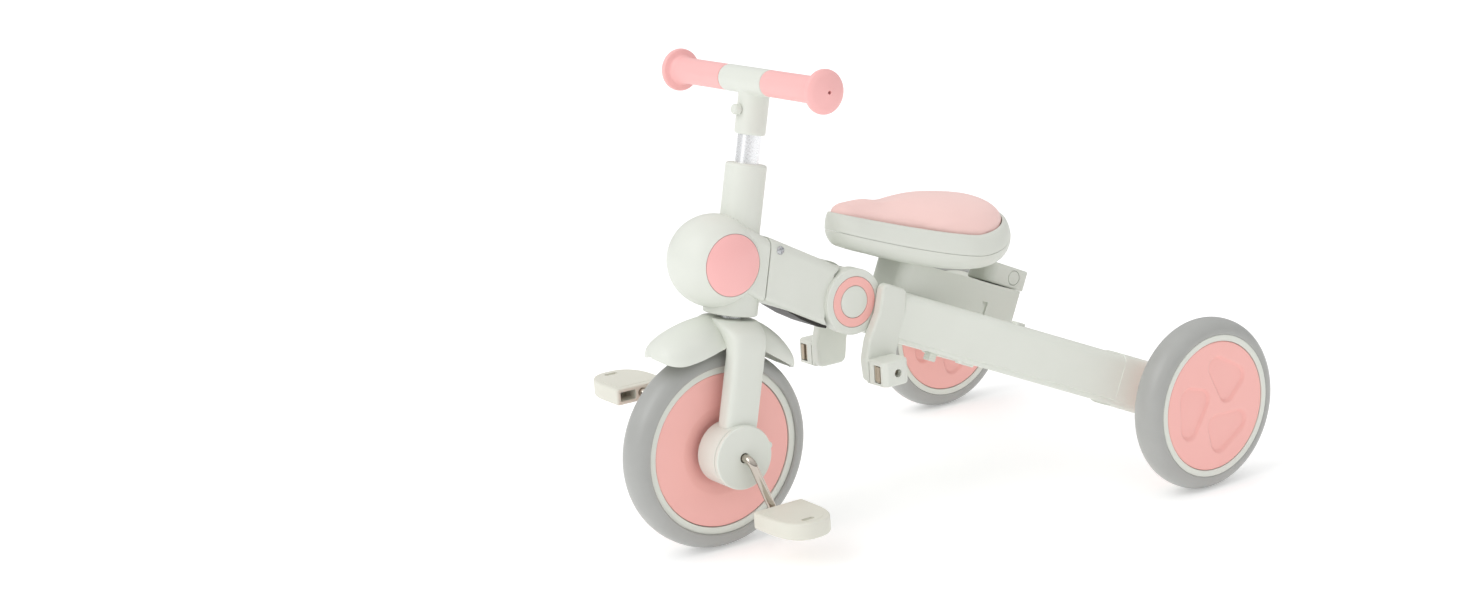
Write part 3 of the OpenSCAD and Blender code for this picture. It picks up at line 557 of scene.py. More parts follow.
def store(name: str, points: Grid, faces: list[list[int]], merge: float = MERGE,
          upwards: bool = False) -> bpy.types.Object:
    """Stores points and faces as a mesh, in metres, with doubles merged and faces outwards.

    Args:
        name: Name of the piece.
        points: Rows of (x, y, z), in millimetres.
        faces: Numbers of each face's points.
        merge: How near two points are to become one, in millimetres.
        upwards: Turn an open sheet so that its faces look up.

    Returns:
        The object, linked to the scene.
    """
    mesh = bpy.data.meshes.new(name)
    mesh.from_pydata((points * MM).tolist(), [], faces)
    work = bmesh.new()
    work.from_mesh(mesh)
    bmesh.ops.remove_doubles(work, verts=work.verts, dist=merge * MM)
    bmesh.ops.recalc_face_normals(work, faces=work.faces)
    if upwards and sum(f.normal.z for f in work.faces) < 0:
        bmesh.ops.reverse_faces(work, faces=work.faces)
    work.to_mesh(mesh)
    work.free()
    mesh.update()
    piece = bpy.data.objects.new(name, mesh)
    bpy.context.scene.collection.objects.link(piece)
    return piece


def bare_mesh(name: str, shells: list[Shell]) -> bpy.types.Object:
    """Stores shells as one mesh.

    Args:
        name: Name of the piece.
        shells: Its shells, in millimetres.

    Returns:
        The object, linked to the scene.
    """
    points, quads, ends, start = [], [], [], 0
    for shell in shells:
        four, caps = shell.faces(start)
        points.append(shell.points.reshape(-1, 3))
        quads.append(four)
        ends += caps
        start += len(points[-1])
    return store(name, np.concatenate(points), np.concatenate(quads).tolist() + ends)


def vertices(piece: bpy.types.Object) -> Grid:
    """Points of a piece's mesh.

    Args:
        piece: The piece.

    Returns:
        Rows of (x, y, z), in metres.
    """
    flat = np.empty(len(piece.data.vertices) * 3)
    piece.data.vertices.foreach_get("co", flat)
    return flat.reshape(-1, 3)


def bake(piece: bpy.types.Object) -> None:
    """Puts the result of a piece's modifiers into its mesh and drops them.

    Args:
        piece: The piece.
    """
    graph = bpy.context.evaluated_depsgraph_get()
    mesh = bpy.data.meshes.new_from_object(piece.evaluated_get(graph))
    piece.modifiers.clear()
    piece.data = mesh


def fuse(piece: bpy.types.Object, voxel: float, passes: int) -> None:
    """Melts overlapping shells into one skin and smooths it, as a fillet does in a mould.

    Args:
        piece: The piece to melt.
        voxel: Size of the remesh grid in millimetres.
        passes: Rounds of smoothing.
    """
    melt = piece.modifiers.new("melt", "REMESH")
    melt.mode, melt.voxel_size, melt.use_smooth_shade = "VOXEL", voxel * MM, True
    calm = piece.modifiers.new("calm", "SMOOTH")
    calm.factor, calm.iterations = 0.5, passes
    bake(piece)


def carve(piece: bpy.types.Object, shells: list[Shell]) -> None:
    """Cuts shells out of a piece, one after the other.

    Args:
        piece: The piece to cut.
        shells: Closed shells of what is taken away.
    """
    for shell in shells:
        cutter = bare_mesh(piece.name + ".cutter", [shell])
        cut = piece.modifiers.new("cut", "BOOLEAN")
        cut.operation, cut.solver, cut.object = "DIFFERENCE", "MANIFOLD", cutter
        bake(piece)
        bpy.data.objects.remove(cutter)


def dress(piece: bpy.types.Object, finish: Finish, body: str, nodes: tuple[str, ...] = (),
          crease: float = 38.0) -> bpy.types.Object:
    """Gives a piece its finish and its place on a body.

    Args:
        piece: The piece.
        finish: Its finish.
        body: The body that it moves with.
        nodes: CAD nodes that it stands for.
        crease: Angle in degrees past which an edge stays sharp.

    Returns:
        The piece.
    """
    piece.data.materials.clear()
    piece.data.materials.append(finish.material())
    piece.data.shade_smooth()
    piece.data.set_sharp_from_angle(angle=np.radians(crease))
    flat = piece.modifiers.new("flat faces", "WEIGHTED_NORMAL")
    flat.keep_sharp = True
    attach(piece, body)
    if nodes:
        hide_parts(*nodes)
    LOG.info("%s: %d faces on %s", piece.name, len(piece.data.polygons), body)
    return piece


def make(name: str, shells: list[Shell], finish: Finish, body: str, nodes: tuple[str, ...] = (),
         crease: float = 38.0) -> bpy.types.Object:
    """Stores shells as a piece and dresses it; the arguments are those of bare_mesh and dress."""
    return dress(bare_mesh(name, shells), finish, body, nodes, crease)


# ---------- wheels ----------


@dataclass
class Tyre:
    """Foam tyre: a squared half oval that stands on its rim."""

    radius: float
    bead: float
    half: float
    shoulder: float = 2.25

    def shell(self) -> Shell:
        """The tyre about its axle.

        The radius is the bead's plus the tyre's height times (1 - |x/half|^p)^(1/p).

        Returns:
            The closed tyre, its middle at x = 0.
        """
        t = np.linspace(0, np.pi, 41)
        k = 2 / self.shoulder
        x = self.half * np.sign(np.cos(t)) * np.abs(np.cos(t)) ** k
        r = self.bead + 1.2 + (self.radius - self.bead - 1.2) * np.sin(t) ** k
        outer = np.stack([x, r], 1)
        inner = [(-self.half + 1.2, self.bead - 0.2), (self.half - 1.2, self.bead - 0.2)]
        return ring(np.vstack([outer, inner]), around=WHEEL_AROUND)


@dataclass
class FrontWheel:
    """Front wheel with its cranks and pedals."""

    crank_radius: float = 4.5
    crank_reach: float = 65.0
    arm_x: float = 69.0
    pedal_x: float = 76.5
    pedal_half: float = 31.0
    pedal_width: float = 73.0
    pedal_half_thick: float = 9.0
    left_angle: float = -69.5
    phase: float = -165.0

    def build(self) -> None:
        """Makes the tyre, rim, discs, cranks and pedals."""
        tyre = Tyre(FRONT_R, 91.0, 20.0).shell()
        make("tyre_front", [tyre.moved(FRONT_HUB)], TYRE, "front_wheel", ("front_tyre",))
        rim = fillet([(-17, 83.3), (17, 83.3), (17, 91.2), (-17, 91.2)], [0.8, 0.8, 1.2, 1.2])
        web = [(-2.5, 0), (-2.5, 83.5), (2.5, 83.5), (2.5, 0)]
        band = ring(rim, around=WHEEL_AROUND)
        make("rim_front", [s.moved(FRONT_HUB) for s in (band, Shell(lathe(web)))], CREAM, "front_wheel",
             ("front_rim",))
        for side in Side:
            profile = [(3, 20), (9.5, 20), (11.5, 34), (15.2, 48), (15.6, 82.7), (13.8, 82.7), (12, 46),
                       (3, 30)]
            disc = ring(fillet(profile, [0.5, 1.5, 6, 12, 0.9, 0.5, 3, 0.5]), around=WHEEL_AROUND)
            make(f"disc_front_{side.word}", [disc.moved(FRONT_HUB).on(side)], PINK, "front_wheel",
                 (f"front_disc_{side.word}",))
            self.crank(side)
            self.pedal(side)

    def angle(self, side: Side) -> float:
        """Angle of a crank about the axle, in radians, from the rear upwards."""
        return np.radians(self.left_angle + (self.phase if side is Side.RIGHT else 0.0))

    def crank(self, side: Side) -> None:
        """Bent rod from the hub to the pedal, its bends rounded like the real one's.

        Args:
            side: The crank's side.
        """
        way = np.array([0.0, np.cos(self.angle(side)), np.sin(self.angle(side))])
        out = np.array([1.0, 0.0, 0.0])
        stations = [(26, 0), (self.arm_x - 1.5, 0), (self.arm_x + 1.0, self.crank_reach),
                    (self.pedal_x + self.pedal_width - 15, self.crank_reach)]
        line = fillet(stations, [0, 9, 6, 0], steps=10, closed=False)
        path = line[:, :1] * out + line[:, 1:] * way
        rod = Shell(tube(path, self.crank_radius, tuple(np.cross(out, way)))).moved(FRONT_HUB)
        make(f"crank_rod_{side.word}", [rod.on(side)], NICKEL, "front_wheel", (f"crank_{side.word}",))

    def outline(self, shrink: float) -> Grid:
        """D-shaped outline of a pedal, shrunk by a margin.

        The inner edge is straight. The outer part is half a superellipse: each coordinate is its
        half width times the 0.8th power of the cosine or sine.

        Args:
            shrink: How far it lies inside the pedal's own outline.

        Returns:
            Closed outline of (x, y) points from the pedal's inner edge.
        """
        h, w = self.pedal_half - shrink, self.pedal_width - shrink
        t = np.radians(np.linspace(-90, 90, 49))
        a, b = np.cos(t), np.abs(np.sin(t))
        bow = np.stack([26 + (w - 26) * np.maximum(a, 0) ** 0.8, h * np.sign(t) * b**0.8], 1)
        return fillet(np.vstack([[(shrink, h), (shrink, -h)], bow]), [3, 3] + [0.0] * 49, steps=4)

    def pedal(self, side: Side) -> None:
        """Pedal: rounded block, raised tread with a slot, pockets and the pin's boss on the inner face.

        Args:
            side: The pedal's side.
        """
        a = self.angle(side)
        centre = (self.pedal_x, self.crank_reach * np.cos(a), self.crank_reach * np.sin(a))
        t = self.pedal_half_thick
        block = Shell(plate(self.outline(0.0), -t, t, 2.2))
        piece = bare_mesh(f"pedal_block_{side.word}", [block.moved(FRONT_HUB, centre).on(side)])
        slot = soft_box((56.5, -10.5, t - 2.6), (62.5, 4.5, t + 4), 2.2, 0.4)
        pockets = [soft_box((-4, y - 9.4, -5.2), (26, y + 9.4, 5.2), 1.5, 1.2) for y in (-17.6, 17.6)]
        cuts = [slot, *pockets, Shell(lathe([(-3, 0), (-3, 5.4), (4, 5.4), (4, 0)], around=32))]
        carve(piece, [c.moved(FRONT_HUB, centre).on(side) for c in cuts])
        dress(piece, NYLON, f"{side.word}_pedal", (f"pedal_{side.word}",), crease=34)
        pad = Shell(plate(self.outline(6.5), t - 0.2, t + 0.35, 0.3, 2))
        tread = bare_mesh(f"pedal_tread_{side.word}", [pad.moved(FRONT_HUB, centre).on(side)])
        carve(tread, [slot.moved(FRONT_HUB, centre).on(side)])
        dress(tread, NYLON, f"{side.word}_pedal", crease=34)
        boss = ring(fillet([(0.6, 4.55), (0.6, 7.6), (26, 7.6), (26, 4.55)], 0.6), around=40)
        make(f"pedal_boss_{side.word}", [boss.moved(FRONT_HUB, centre).on(side)], NYLON, f"{side.word}_pedal")


@dataclass
class RearWheel:
    """Rear wheel: tyre, rim and a dished disc on each face."""

    side: Side
    middle_x: float = 235.0
    half: float = 19.0
    rim_radius: float = 80.0
    disc_radius: float = 72.6
    hollow_depth: float = 3.2
    corner_round: float = 14.0
    corner_radii: tuple[float, float, float] = (43.2, 43.0, 23.5)
    corner_angles: tuple[float, float, float] = (84.7, 38.5, 34.0)

    def hollows(self, a: Grid, b: Grid) -> Grid:
        """Depth of the three round-cornered hollows.

        Each is a triangle with round corners. Its distance is that to the triangle of the corners'
        middles, less their radius. The depth rises smoothly from none at the outline to all of it
        4 mm inside.

        Args:
            a: Coordinates across the disc.
            b: Coordinates up the disc.

        Returns:
            The depth at each point.
        """
        here = np.stack([a, b], -1)
        depth = np.zeros_like(a)
        for turn in (0.0, 120.0, 240.0):
            angle = np.radians(np.array(self.corner_angles) + turn)
            corner = np.array(self.corner_radii)[:, None] * np.stack([np.cos(angle), np.sin(angle)], 1)
            gap, inside = np.full(a.shape, 1e9), np.ones(a.shape, bool)
            for start, end in zip(corner, np.roll(corner, -1, 0)):
                way = end - start
                t = np.clip(((here - start) @ way) / (way @ way), 0, 1)
                gap = np.minimum(gap, np.linalg.norm(here - start - t[..., None] * way, axis=-1))
                inside &= way[0] * (here[..., 1] - start[1]) - way[1] * (here[..., 0] - start[0]) < 0
            gap = np.where(inside, -gap, gap) - self.corner_round
            step = np.clip(-gap / 4.0, 0, 1)
            depth = np.maximum(depth, self.hollow_depth * step * step * (3 - 2 * step))
        return depth

    def disc(self, face: float, bore: float) -> Shell:
        """Disc as a polar grid: its face sinks into the hollows, and its rim is rounded.

        Args:
            face: Where the face lies along the axle, from the wheel's middle.
            bore: Radius of the hole in its middle, or nought.

        Returns:
            The disc about its axle.
        """
        circles = 76
        inner = np.linspace(bore, self.disc_radius - 1.2, circles)
        radii = np.concatenate([inner, [self.disc_radius - 0.4, self.disc_radius]])
        drop = np.concatenate([np.zeros(circles), [0.25, 1.0]])
        t = np.linspace(0, 2 * np.pi, 240, endpoint=False)[None, :]
        a, b = radii[:, None] * np.cos(t), radii[:, None] * np.sin(t)
        top = np.stack([face - drop[:, None] - self.hollows(a, b), a, b], -1)
        back = np.stack([np.full_like(a, face - 4.5), a, b], -1)[[-1, 0]]
        rings = np.concatenate([top, back], 0)
        return Shell(np.concatenate([rings, rings[:1]], 0) if bore > 0 else rings, capped=False)

    def build(self) -> None:
        """Makes the tyre, the rim and both discs."""
        shift = (self.middle_x, 0.0, 0.0)
        body = f"{self.side.word}_rear_wheel"
        word = self.side.word
        tyre = Tyre(REAR_R, self.rim_radius, self.half, 2.15).shell()
        make(f"tyre_rear_{word}", [tyre.moved(REAR_HUB, shift).on(self.side)], TYRE, body,
             (f"rear_tyre_{word}",))
        h = self.half - 0.4
        band = ring(fillet([(-h, 73.0), (h, 73.0), (h, 79.9), (-h, 79.9)], 0.9), around=WHEEL_AROUND)
        web = Shell(lathe([(-8, 5.05), (-8, 73.5), (8, 73.5), (8, 5.05)]), capped=False)
        boss = ring(fillet([(-13, 5.05), (-13, 16), (13, 16), (13, 5.05)], 0.5))
        make(f"rim_rear_{word}", [s.moved(REAR_HUB, shift).on(self.side) for s in (band, web, boss)], CREAM,
             body, (f"rear_rim_{word}",))
        outer = self.disc(self.half - 1.2, 0.0).moved(REAR_HUB, shift)
        inner = self.disc(self.half - 1.6, 13.0).points * np.array([-1.0, 1.0, 1.0])
        pair = [outer.on(self.side), Shell(inner, capped=False).moved(REAR_HUB, shift).on(self.side)]
        make(f"disc_rear_{word}", pair, PINK, body, (f"rear_disc_{word}",), crease=60)


# ---------- steering ----------


@dataclass
class Steering:
    """Fork, mudguard, hub drums and steering tube."""

    leg_x: float = 37.0

    def build(self) -> None:
        """Makes the fork, the mudguard's wings and the hub's drums and caps."""
        self.fork()
        self.mudguard()
        for side in Side:
            self.hub(side)
        steerer = fillet([(118, 10.9), (118, 12.7), (374.5, 12.7), (374.5, 10.9)], 0.4)
        make("steering_tube", [ring(steerer, "z").moved(COLUMN)], ANODISED, "steering", ("steerer_tube",))

    def fork(self) -> None:
        """Fork: legs whose squared oval section runs up into a round crown, melted into one skin."""
        v = np.array([27, 34, 60, 90, 104, 112, 118, 123, 128, 132, 135.5, 138.2, 139.0])
        half_x = np.array([11.6, 12, 12, 12, 12, 12.8, 14.6, 17.2, 20.4, 22.6, 23.6, 23.8, 22.8])
        half_y = np.array([19.5, 20, 20, 20, 20, 20.4, 21.2, 22.4, 24.2, 25.8, 27.2, 27.6, 26.8])
        middle = np.array([self.leg_x] * 5 + [36.2, 34.2, 30.6, 24.6, 17.6, 10.6, 5.6, 5.0])
        power = np.array([4.2, 4.2, 4.2, 4.2, 4.2, 4.0, 3.7, 3.3, 2.8, 2.5, 2.2, 2.1, 2.1])
        a, b = squircle(half_x, half_y, power, 72)
        leg = Shell(np.stack([a + middle[:, None], b, np.broadcast_to(v[:, None], a.shape)], -1))
        v = np.array([108, 112, 117, 122, 127, 132, 136, 138.2, 139.0])
        half_x = np.array([40.0, 40.0, 39.0, 36.0, 33.0, 30.5, 29.0, 28.4, 27.4])
        half_y = np.array([14.0, 18.6, 20.6, 22.4, 24.6, 26.6, 28.0, 28.4, 27.4])
        power = np.array([3.6, 3.6, 3.4, 3.1, 2.8, 2.4, 2.1, 2.0, 2.0])
        a, b = squircle(half_x, half_y, power, 96)
        crown = Shell(np.stack([a, b, np.broadcast_to(v[:, None], a.shape)], -1))
        piece = bare_mesh("fork_moulding", [s.moved(COLUMN) for s in (leg, leg.on(Side.RIGHT), crown)])
        fuse(piece, 1.5, 10)
        arch = Shell(lathe([(-24.6, 0), (-24.6, 111.5), (-22, 113.6), (22, 113.6), (24.6, 111.5), (24.6, 0)]))
        carve(piece, [arch.moved(FRONT_HUB)])
        dress(piece, CREAM, "steering", ("fork",), crease=50)

    def wing(self, name: str, crest: list, hem: list, widths: list, nodes: tuple[str, ...]) -> None:
        """One wing of the mudguard.

        Across each station the height blends from the hem to the crest by a power of the cosine of
        t, while x is the half width times the sine of t. The power falls from 3 at the crown, where
        the leaf is keeled, to 0.85, where it is a round arch.

        Args:
            name: Name of the piece.
            crest: (y, z) points of the ridge, from the crown to the tip.
            hem: (y, z) points of the lower edge, from the crown to the tip.
            widths: Half widths at even steps from the crown to the tip.
            nodes: CAD nodes that the wing stands for.
        """
        rows = 49
        top, low = smooth_line(crest, rows), smooth_line(hem, rows)
        wide = smooth_line(widths, rows)
        t = np.linspace(-np.pi / 2, np.pi / 2, 61)[None, :]
        power = 0.85 + 2.15 * np.exp(-((np.linspace(0, 1, rows) / 0.24) ** 2))[:, None]
        lift = np.maximum(np.cos(t), 0.0) ** power
        x = wide * np.sin(t)
        y = low[:, :1] + (top - low)[:, :1] * lift
        z = low[:, 1:] + (top - low)[:, 1:] * lift
        sheet = np.stack([x, y, z], -1)
        n = sheet.shape[1]
        i, j = np.meshgrid(np.arange(rows - 1), np.arange(n - 1), indexing="ij")
        first = i * n + j
        quads = np.stack([first, first + 1, first + n + 1, first + n], -1).reshape(-1, 4)
        piece = store(name, sheet.reshape(-1, 3), quads.tolist(), merge=0.3, upwards=True)
        wall = piece.modifiers.new("wall", "SOLIDIFY")
        wall.thickness, wall.offset = 2.4 * MM, -1.0
        bake(piece)
        dress(piece, CREAM, "steering", nodes, crease=60)

    def mudguard(self) -> None:
        """The front and the rear wing, each a leaf that springs from the crown and ends in a point."""
        self.wing("mudguard_front",
                  [(-226, 249), (-242, 251.5), (-258, 249.5), (-275, 245), (-290, 239.5), (-303, 231.5),
                   (-310.5, 221.5)],
                  [(-226, 224), (-242, 220), (-259, 216.5), (-275, 213.5), (-291, 212), (-303, 214.5),
                   (-310.8, 220)],
                  [27, 31.5, 34, 34, 31.5, 23, 4], ("mudguard",))
        self.wing("mudguard_rear",
                  [(-200, 242), (-186, 238), (-171, 229), (-156, 215), (-145, 200), (-139, 187),
                   (-136.5, 175)],
                  [(-206, 216), (-194, 211), (-181, 202), (-168, 193.5), (-155, 185), (-145, 178.5),
                   (-137, 174)],
                  [27, 31, 32, 29.5, 24.5, 16, 2], ())

    def hub(self, side: Side) -> None:
        """Drum, cap and release nub on one side of the front axle.

        Args:
            side: The side of the drum.
        """
        drum = fillet([(18.6, 17.5), (18.6, 33.9), (50.2, 33.9), (50.2, 17.5)], [0.5, 1.2, 0.7, 0.5])
        make(f"drum_{side.word}", [ring(drum).moved(FRONT_HUB).on(side)], CREAM, "steering",
             (f"hub_drum_{side.word}",))
        cap = fillet([(50.9, 5.2), (50.9, 33.9), (56.4, 33.9), (56.5, 5.2)], [0.3, 0.7, 1.6, 0.8])
        t = np.linspace(0, np.pi, 17)
        nub = Shell(lathe(np.stack([-np.cos(t) * 2.3, np.sin(t) * 4.2], 1), around=32), capped=False)
        a = np.radians(10.0)
        place = (53.2, 33.0 * np.cos(a), 33.0 * np.sin(a))
        pair = [ring(cap).moved(FRONT_HUB).on(side), nub.moved(FRONT_HUB, place).on(side)]
        make(f"hub_lid_{side.word}", pair, CREAM, "steering", (f"hub_cap_{side.word}",))


# ---------- head and beam ----------


@dataclass
class Head:
    """Head tube with its ball, the bracket and the beam."""

    ball_radius: float = 49.0
    ball_y: float = -27.3
    ball_v: float = 198.3
    cap_radius: float = 32.5

    def build(self) -> None:
        """Makes the head's pieces."""
        self.ball()
        head = fillet([(147, 13.4), (147, 21.8), (301.6, 21.8), (301.6, 13.4)], [0.5, 0.5, 3.0, 0.6])
        make("head_sleeve", [ring(head, "z").moved(COLUMN)], CREAM, "frame", ("head_tube",))
        collar = fillet([(143.2, 22.2), (143.2, 28.9), (169, 28.9), (169, 22.2)], [0.5, 1.6, 0.8, 0.5])
        make("collar_ring", [ring(collar, "z").moved(COLUMN)], CREAM, "frame", ("head_collar",))
        self.bracket()
        self.beam()
        self.screws()

    def ball(self) -> None:
        """Ball with a round seat on each side, and the domed caps in those seats."""
        seat = self.cap_radius + 0.5
        half = np.sqrt(self.ball_radius**2 - seat**2)
        angle = np.linspace(np.arcsin(half / self.ball_radius), -np.arcsin(half / self.ball_radius), 49)
        skin = np.stack([self.ball_radius * np.sin(angle), self.ball_radius * np.cos(angle)], 1)
        profile = np.vstack([[(34.6, 0), (34.6, seat)], skin, [(-34.6, seat), (-34.6, 0)]])
        shift = (0.0, self.ball_y, self.ball_v)
        ball = Shell(lathe(profile, around=DRUM_AROUND), capped=False)
        make("ball_housing", [ball.moved(COLUMN, shift)], CREAM, "frame", ("head_ball",))
        for side in Side:
            r = self.cap_radius - 0.1
            t = np.linspace(0, 1, 15)
            dome = np.stack([36.3 + 7.4 * (1 - t**2), r * t], 1)
            edge = [(36.0, r), (34.8, r), (34.8, 0)]
            cap = Shell(lathe(np.vstack([dome, edge])), capped=False)
            make(f"ball_cap_dome_{side.word}", [cap.moved(COLUMN, shift).on(side)], BLUSH, "frame",
                 (f"ball_cap_{side.word}",))

    def section(self, low: float, high: float, half: float = 33.0) -> Grid:
        """Beam's section as (x, up) points: big corners above, smaller ones below."""
        return fillet([(-half, low), (half, low), (half, high), (-half, high)], [6, 6, 10, 10], steps=6)

    def bracket(self) -> None:
        """Bracket between the ball and the beam: sections that rise and swell towards the ball."""
        back = np.array([19.6, 19.2, 16.0, 8.0, -2.0, -14.0])
        rise = np.array([0, 0, 1.2, 4.4, 8.2, 11.5])
        shape = self.section(160.4, 226.8, 32.9)
        shrink = np.array([0.985, 1, 1, 1, 1.0, 1.0])
        middle = np.array([0.0, 193.6])
        rings = middle + (shape[None] - middle) * shrink[:, None, None]
        y = np.broadcast_to(back[:, None], rings.shape[:2])
        skin = Shell(np.stack([rings[..., 0], y, rings[..., 1] + rise[:, None]], -1))
        make("beam_bracket", [skin.moved(COLUMN)], CREAM, "frame", ("head_bracket",))

    def beam(self) -> None:
        """Beam from its slanted front seam to the folding joint, with its knuckle and black belly.

        Ring by ring y runs from the seam's plane to its end, which curves round the joint.
        """
        shape = self.section(-34.5, 30.0)
        seam = -116.9 - 0.2925 * shape[:, 1]
        end = -np.sqrt(np.maximum(39.2**2 - shape[:, 1] ** 2, 15.0**2))
        t = np.array([0.0, 0.004, 0.03, 0.35, 0.7, 0.97, 1.0])
        shrink = np.array([0.985, 0.997, 1, 1, 1, 1, 0.99])
        y = seam[None] + (end - seam)[None] * t[:, None]
        rings = np.stack([shape[None, :, 0] * shrink[:, None], y, shape[None, :, 1] * shrink[:, None]], -1)
        make("beam_moulding", [Shell(rings).moved(BEAM)], CREAM, "frame", ("beam_shell",))
        belly = fillet([(-72, -34), (-14, -34), (-13.5, -36.8), (-24, -38.5), (-48, -37.9), (-70, -35.0)],
                       1.2)
        drum = fillet([(-20.1, 6.3), (-20.1, 33.8), (20.1, 33.8), (20.1, 6.3)], 0.6)
        neck = soft_box((-20, -48, -24), (20, -20, 20), 1.0, 0.5)
        make("knuckle_drum", [ring(drum).moved(FOLD), neck.moved(BEAM)], CREAM, "frame", ("fold_knuckle",))
        make("beam_belly", [Shell(across(plate(belly, -24.6, 24.6, 0.5))).moved(BEAM)], BLACK, "frame",
             ("beam_liner",))

    def screws(self) -> None:
        """Round screw heads with a cross slot, one each side of the beam."""
        t = np.linspace(0, 1, 9)
        dome = np.stack([33.0 + 2.6 * np.sqrt(1 - (t * 0.98) ** 2), 4.6 * t], 1)
        head = Shell(lathe(np.vstack([dome, [(32, 4.6), (32, 0)]]), around=40), capped=False)
        slots = [soft_box((34.4, -a, -b), (40, a, b), 0.2, 0.1) for a, b in ((3.0, 0.5), (0.5, 3.0))]
        place = (0.0, 32.0, 215.6)
        piece = bare_mesh("beam_screws", [head.moved(COLUMN, place).on(side) for side in Side])
        carve(piece, [slot.moved(COLUMN, place).on(side) for side in Side for slot in slots])
        dress(piece, ZINC, "frame", ("frame_screws",), crease=30)


# ---------- handlebar ----------


@dataclass
class Handlebar:
    """T stem, cross tube, grips and the spring pin's knob."""

    bar_v: float = 387.46
    bar_y: float = -8.0
    grip_end: float = 142.0

    def build(self) -> None:
        """Makes the stem, knob and grips."""
        post = fillet([(331.5, 0), (331.5, 16.4), (392, 16.4), (392, 0)], [0, 2.2, 6, 0], closed=False)
        tee = fillet([(-38.4, 0), (-38.4, 14.1), (38.4, 14.1), (38.4, 0)], [0, 0.6, 0.6, 0], closed=False)
        piece = bare_mesh("stem_moulding", [
            Shell(lathe(post, "z")).moved(COLUMN),
            Shell(lathe(tee)).moved(COLUMN, (0, self.bar_y, self.bar_v))])
        fuse(piece, 1.1, 6)
        dress(piece, CREAM, "handlebar", ("handlebar_stem",), crease=60)
        knob = fillet([(16.7, 0), (16.7, 5.6), (22.6, 5.6), (24.6, 4.2), (24.9, 0)], [0, 0.7, 1.4, 1.4, 0],
                      closed=False)
        pin = [(12.9, 0), (12.9, 3.0), (17, 3.0), (17, 0)]
        turned = [Shell(lathe(p, around=48)) for p in (knob, pin)]
        made = [Shell(np.stack([t.points[..., 1], -t.points[..., 0], t.points[..., 2]], -1)) for t in turned]
        make("stem_knob", [m.moved(COLUMN, (0, 0, 356.5)) for m in made], CREAM, "bar_button",
             ("stem_button",))
        for side in Side:
            self.grip(side)

    def grip(self, side: Side) -> None:
        """Grip: sleeve, flared end with a shallow cone on its face and a vent hole.

        Args:
            side: The grip's side.
        """
        e = self.grip_end
        outer = fillet([(38.9, 10.2), (38.9, 13.8), (e - 19, 13.9), (e - 14.5, 16), (e - 12.5, 22.6),
                        (e - 7.5, 22.9), (e - 4, 18), (e - 0.6, 5), (e, 1.8), (e - 14, 1.8), (e - 14, 10.2)],
                       [0.3, 0.8, 6, 3, 2.6, 3.5, 10, 4, 0.4, 0.2, 0.2], steps=7)
        shell = ring(outer, around=128).moved(COLUMN, (0, self.bar_y, self.bar_v)).on(side)
        make(f"grip_sleeve_{side.word}", [shell], GRIP, "handlebar", (f"grip_{side.word}",))


# ---------- saddle ----------


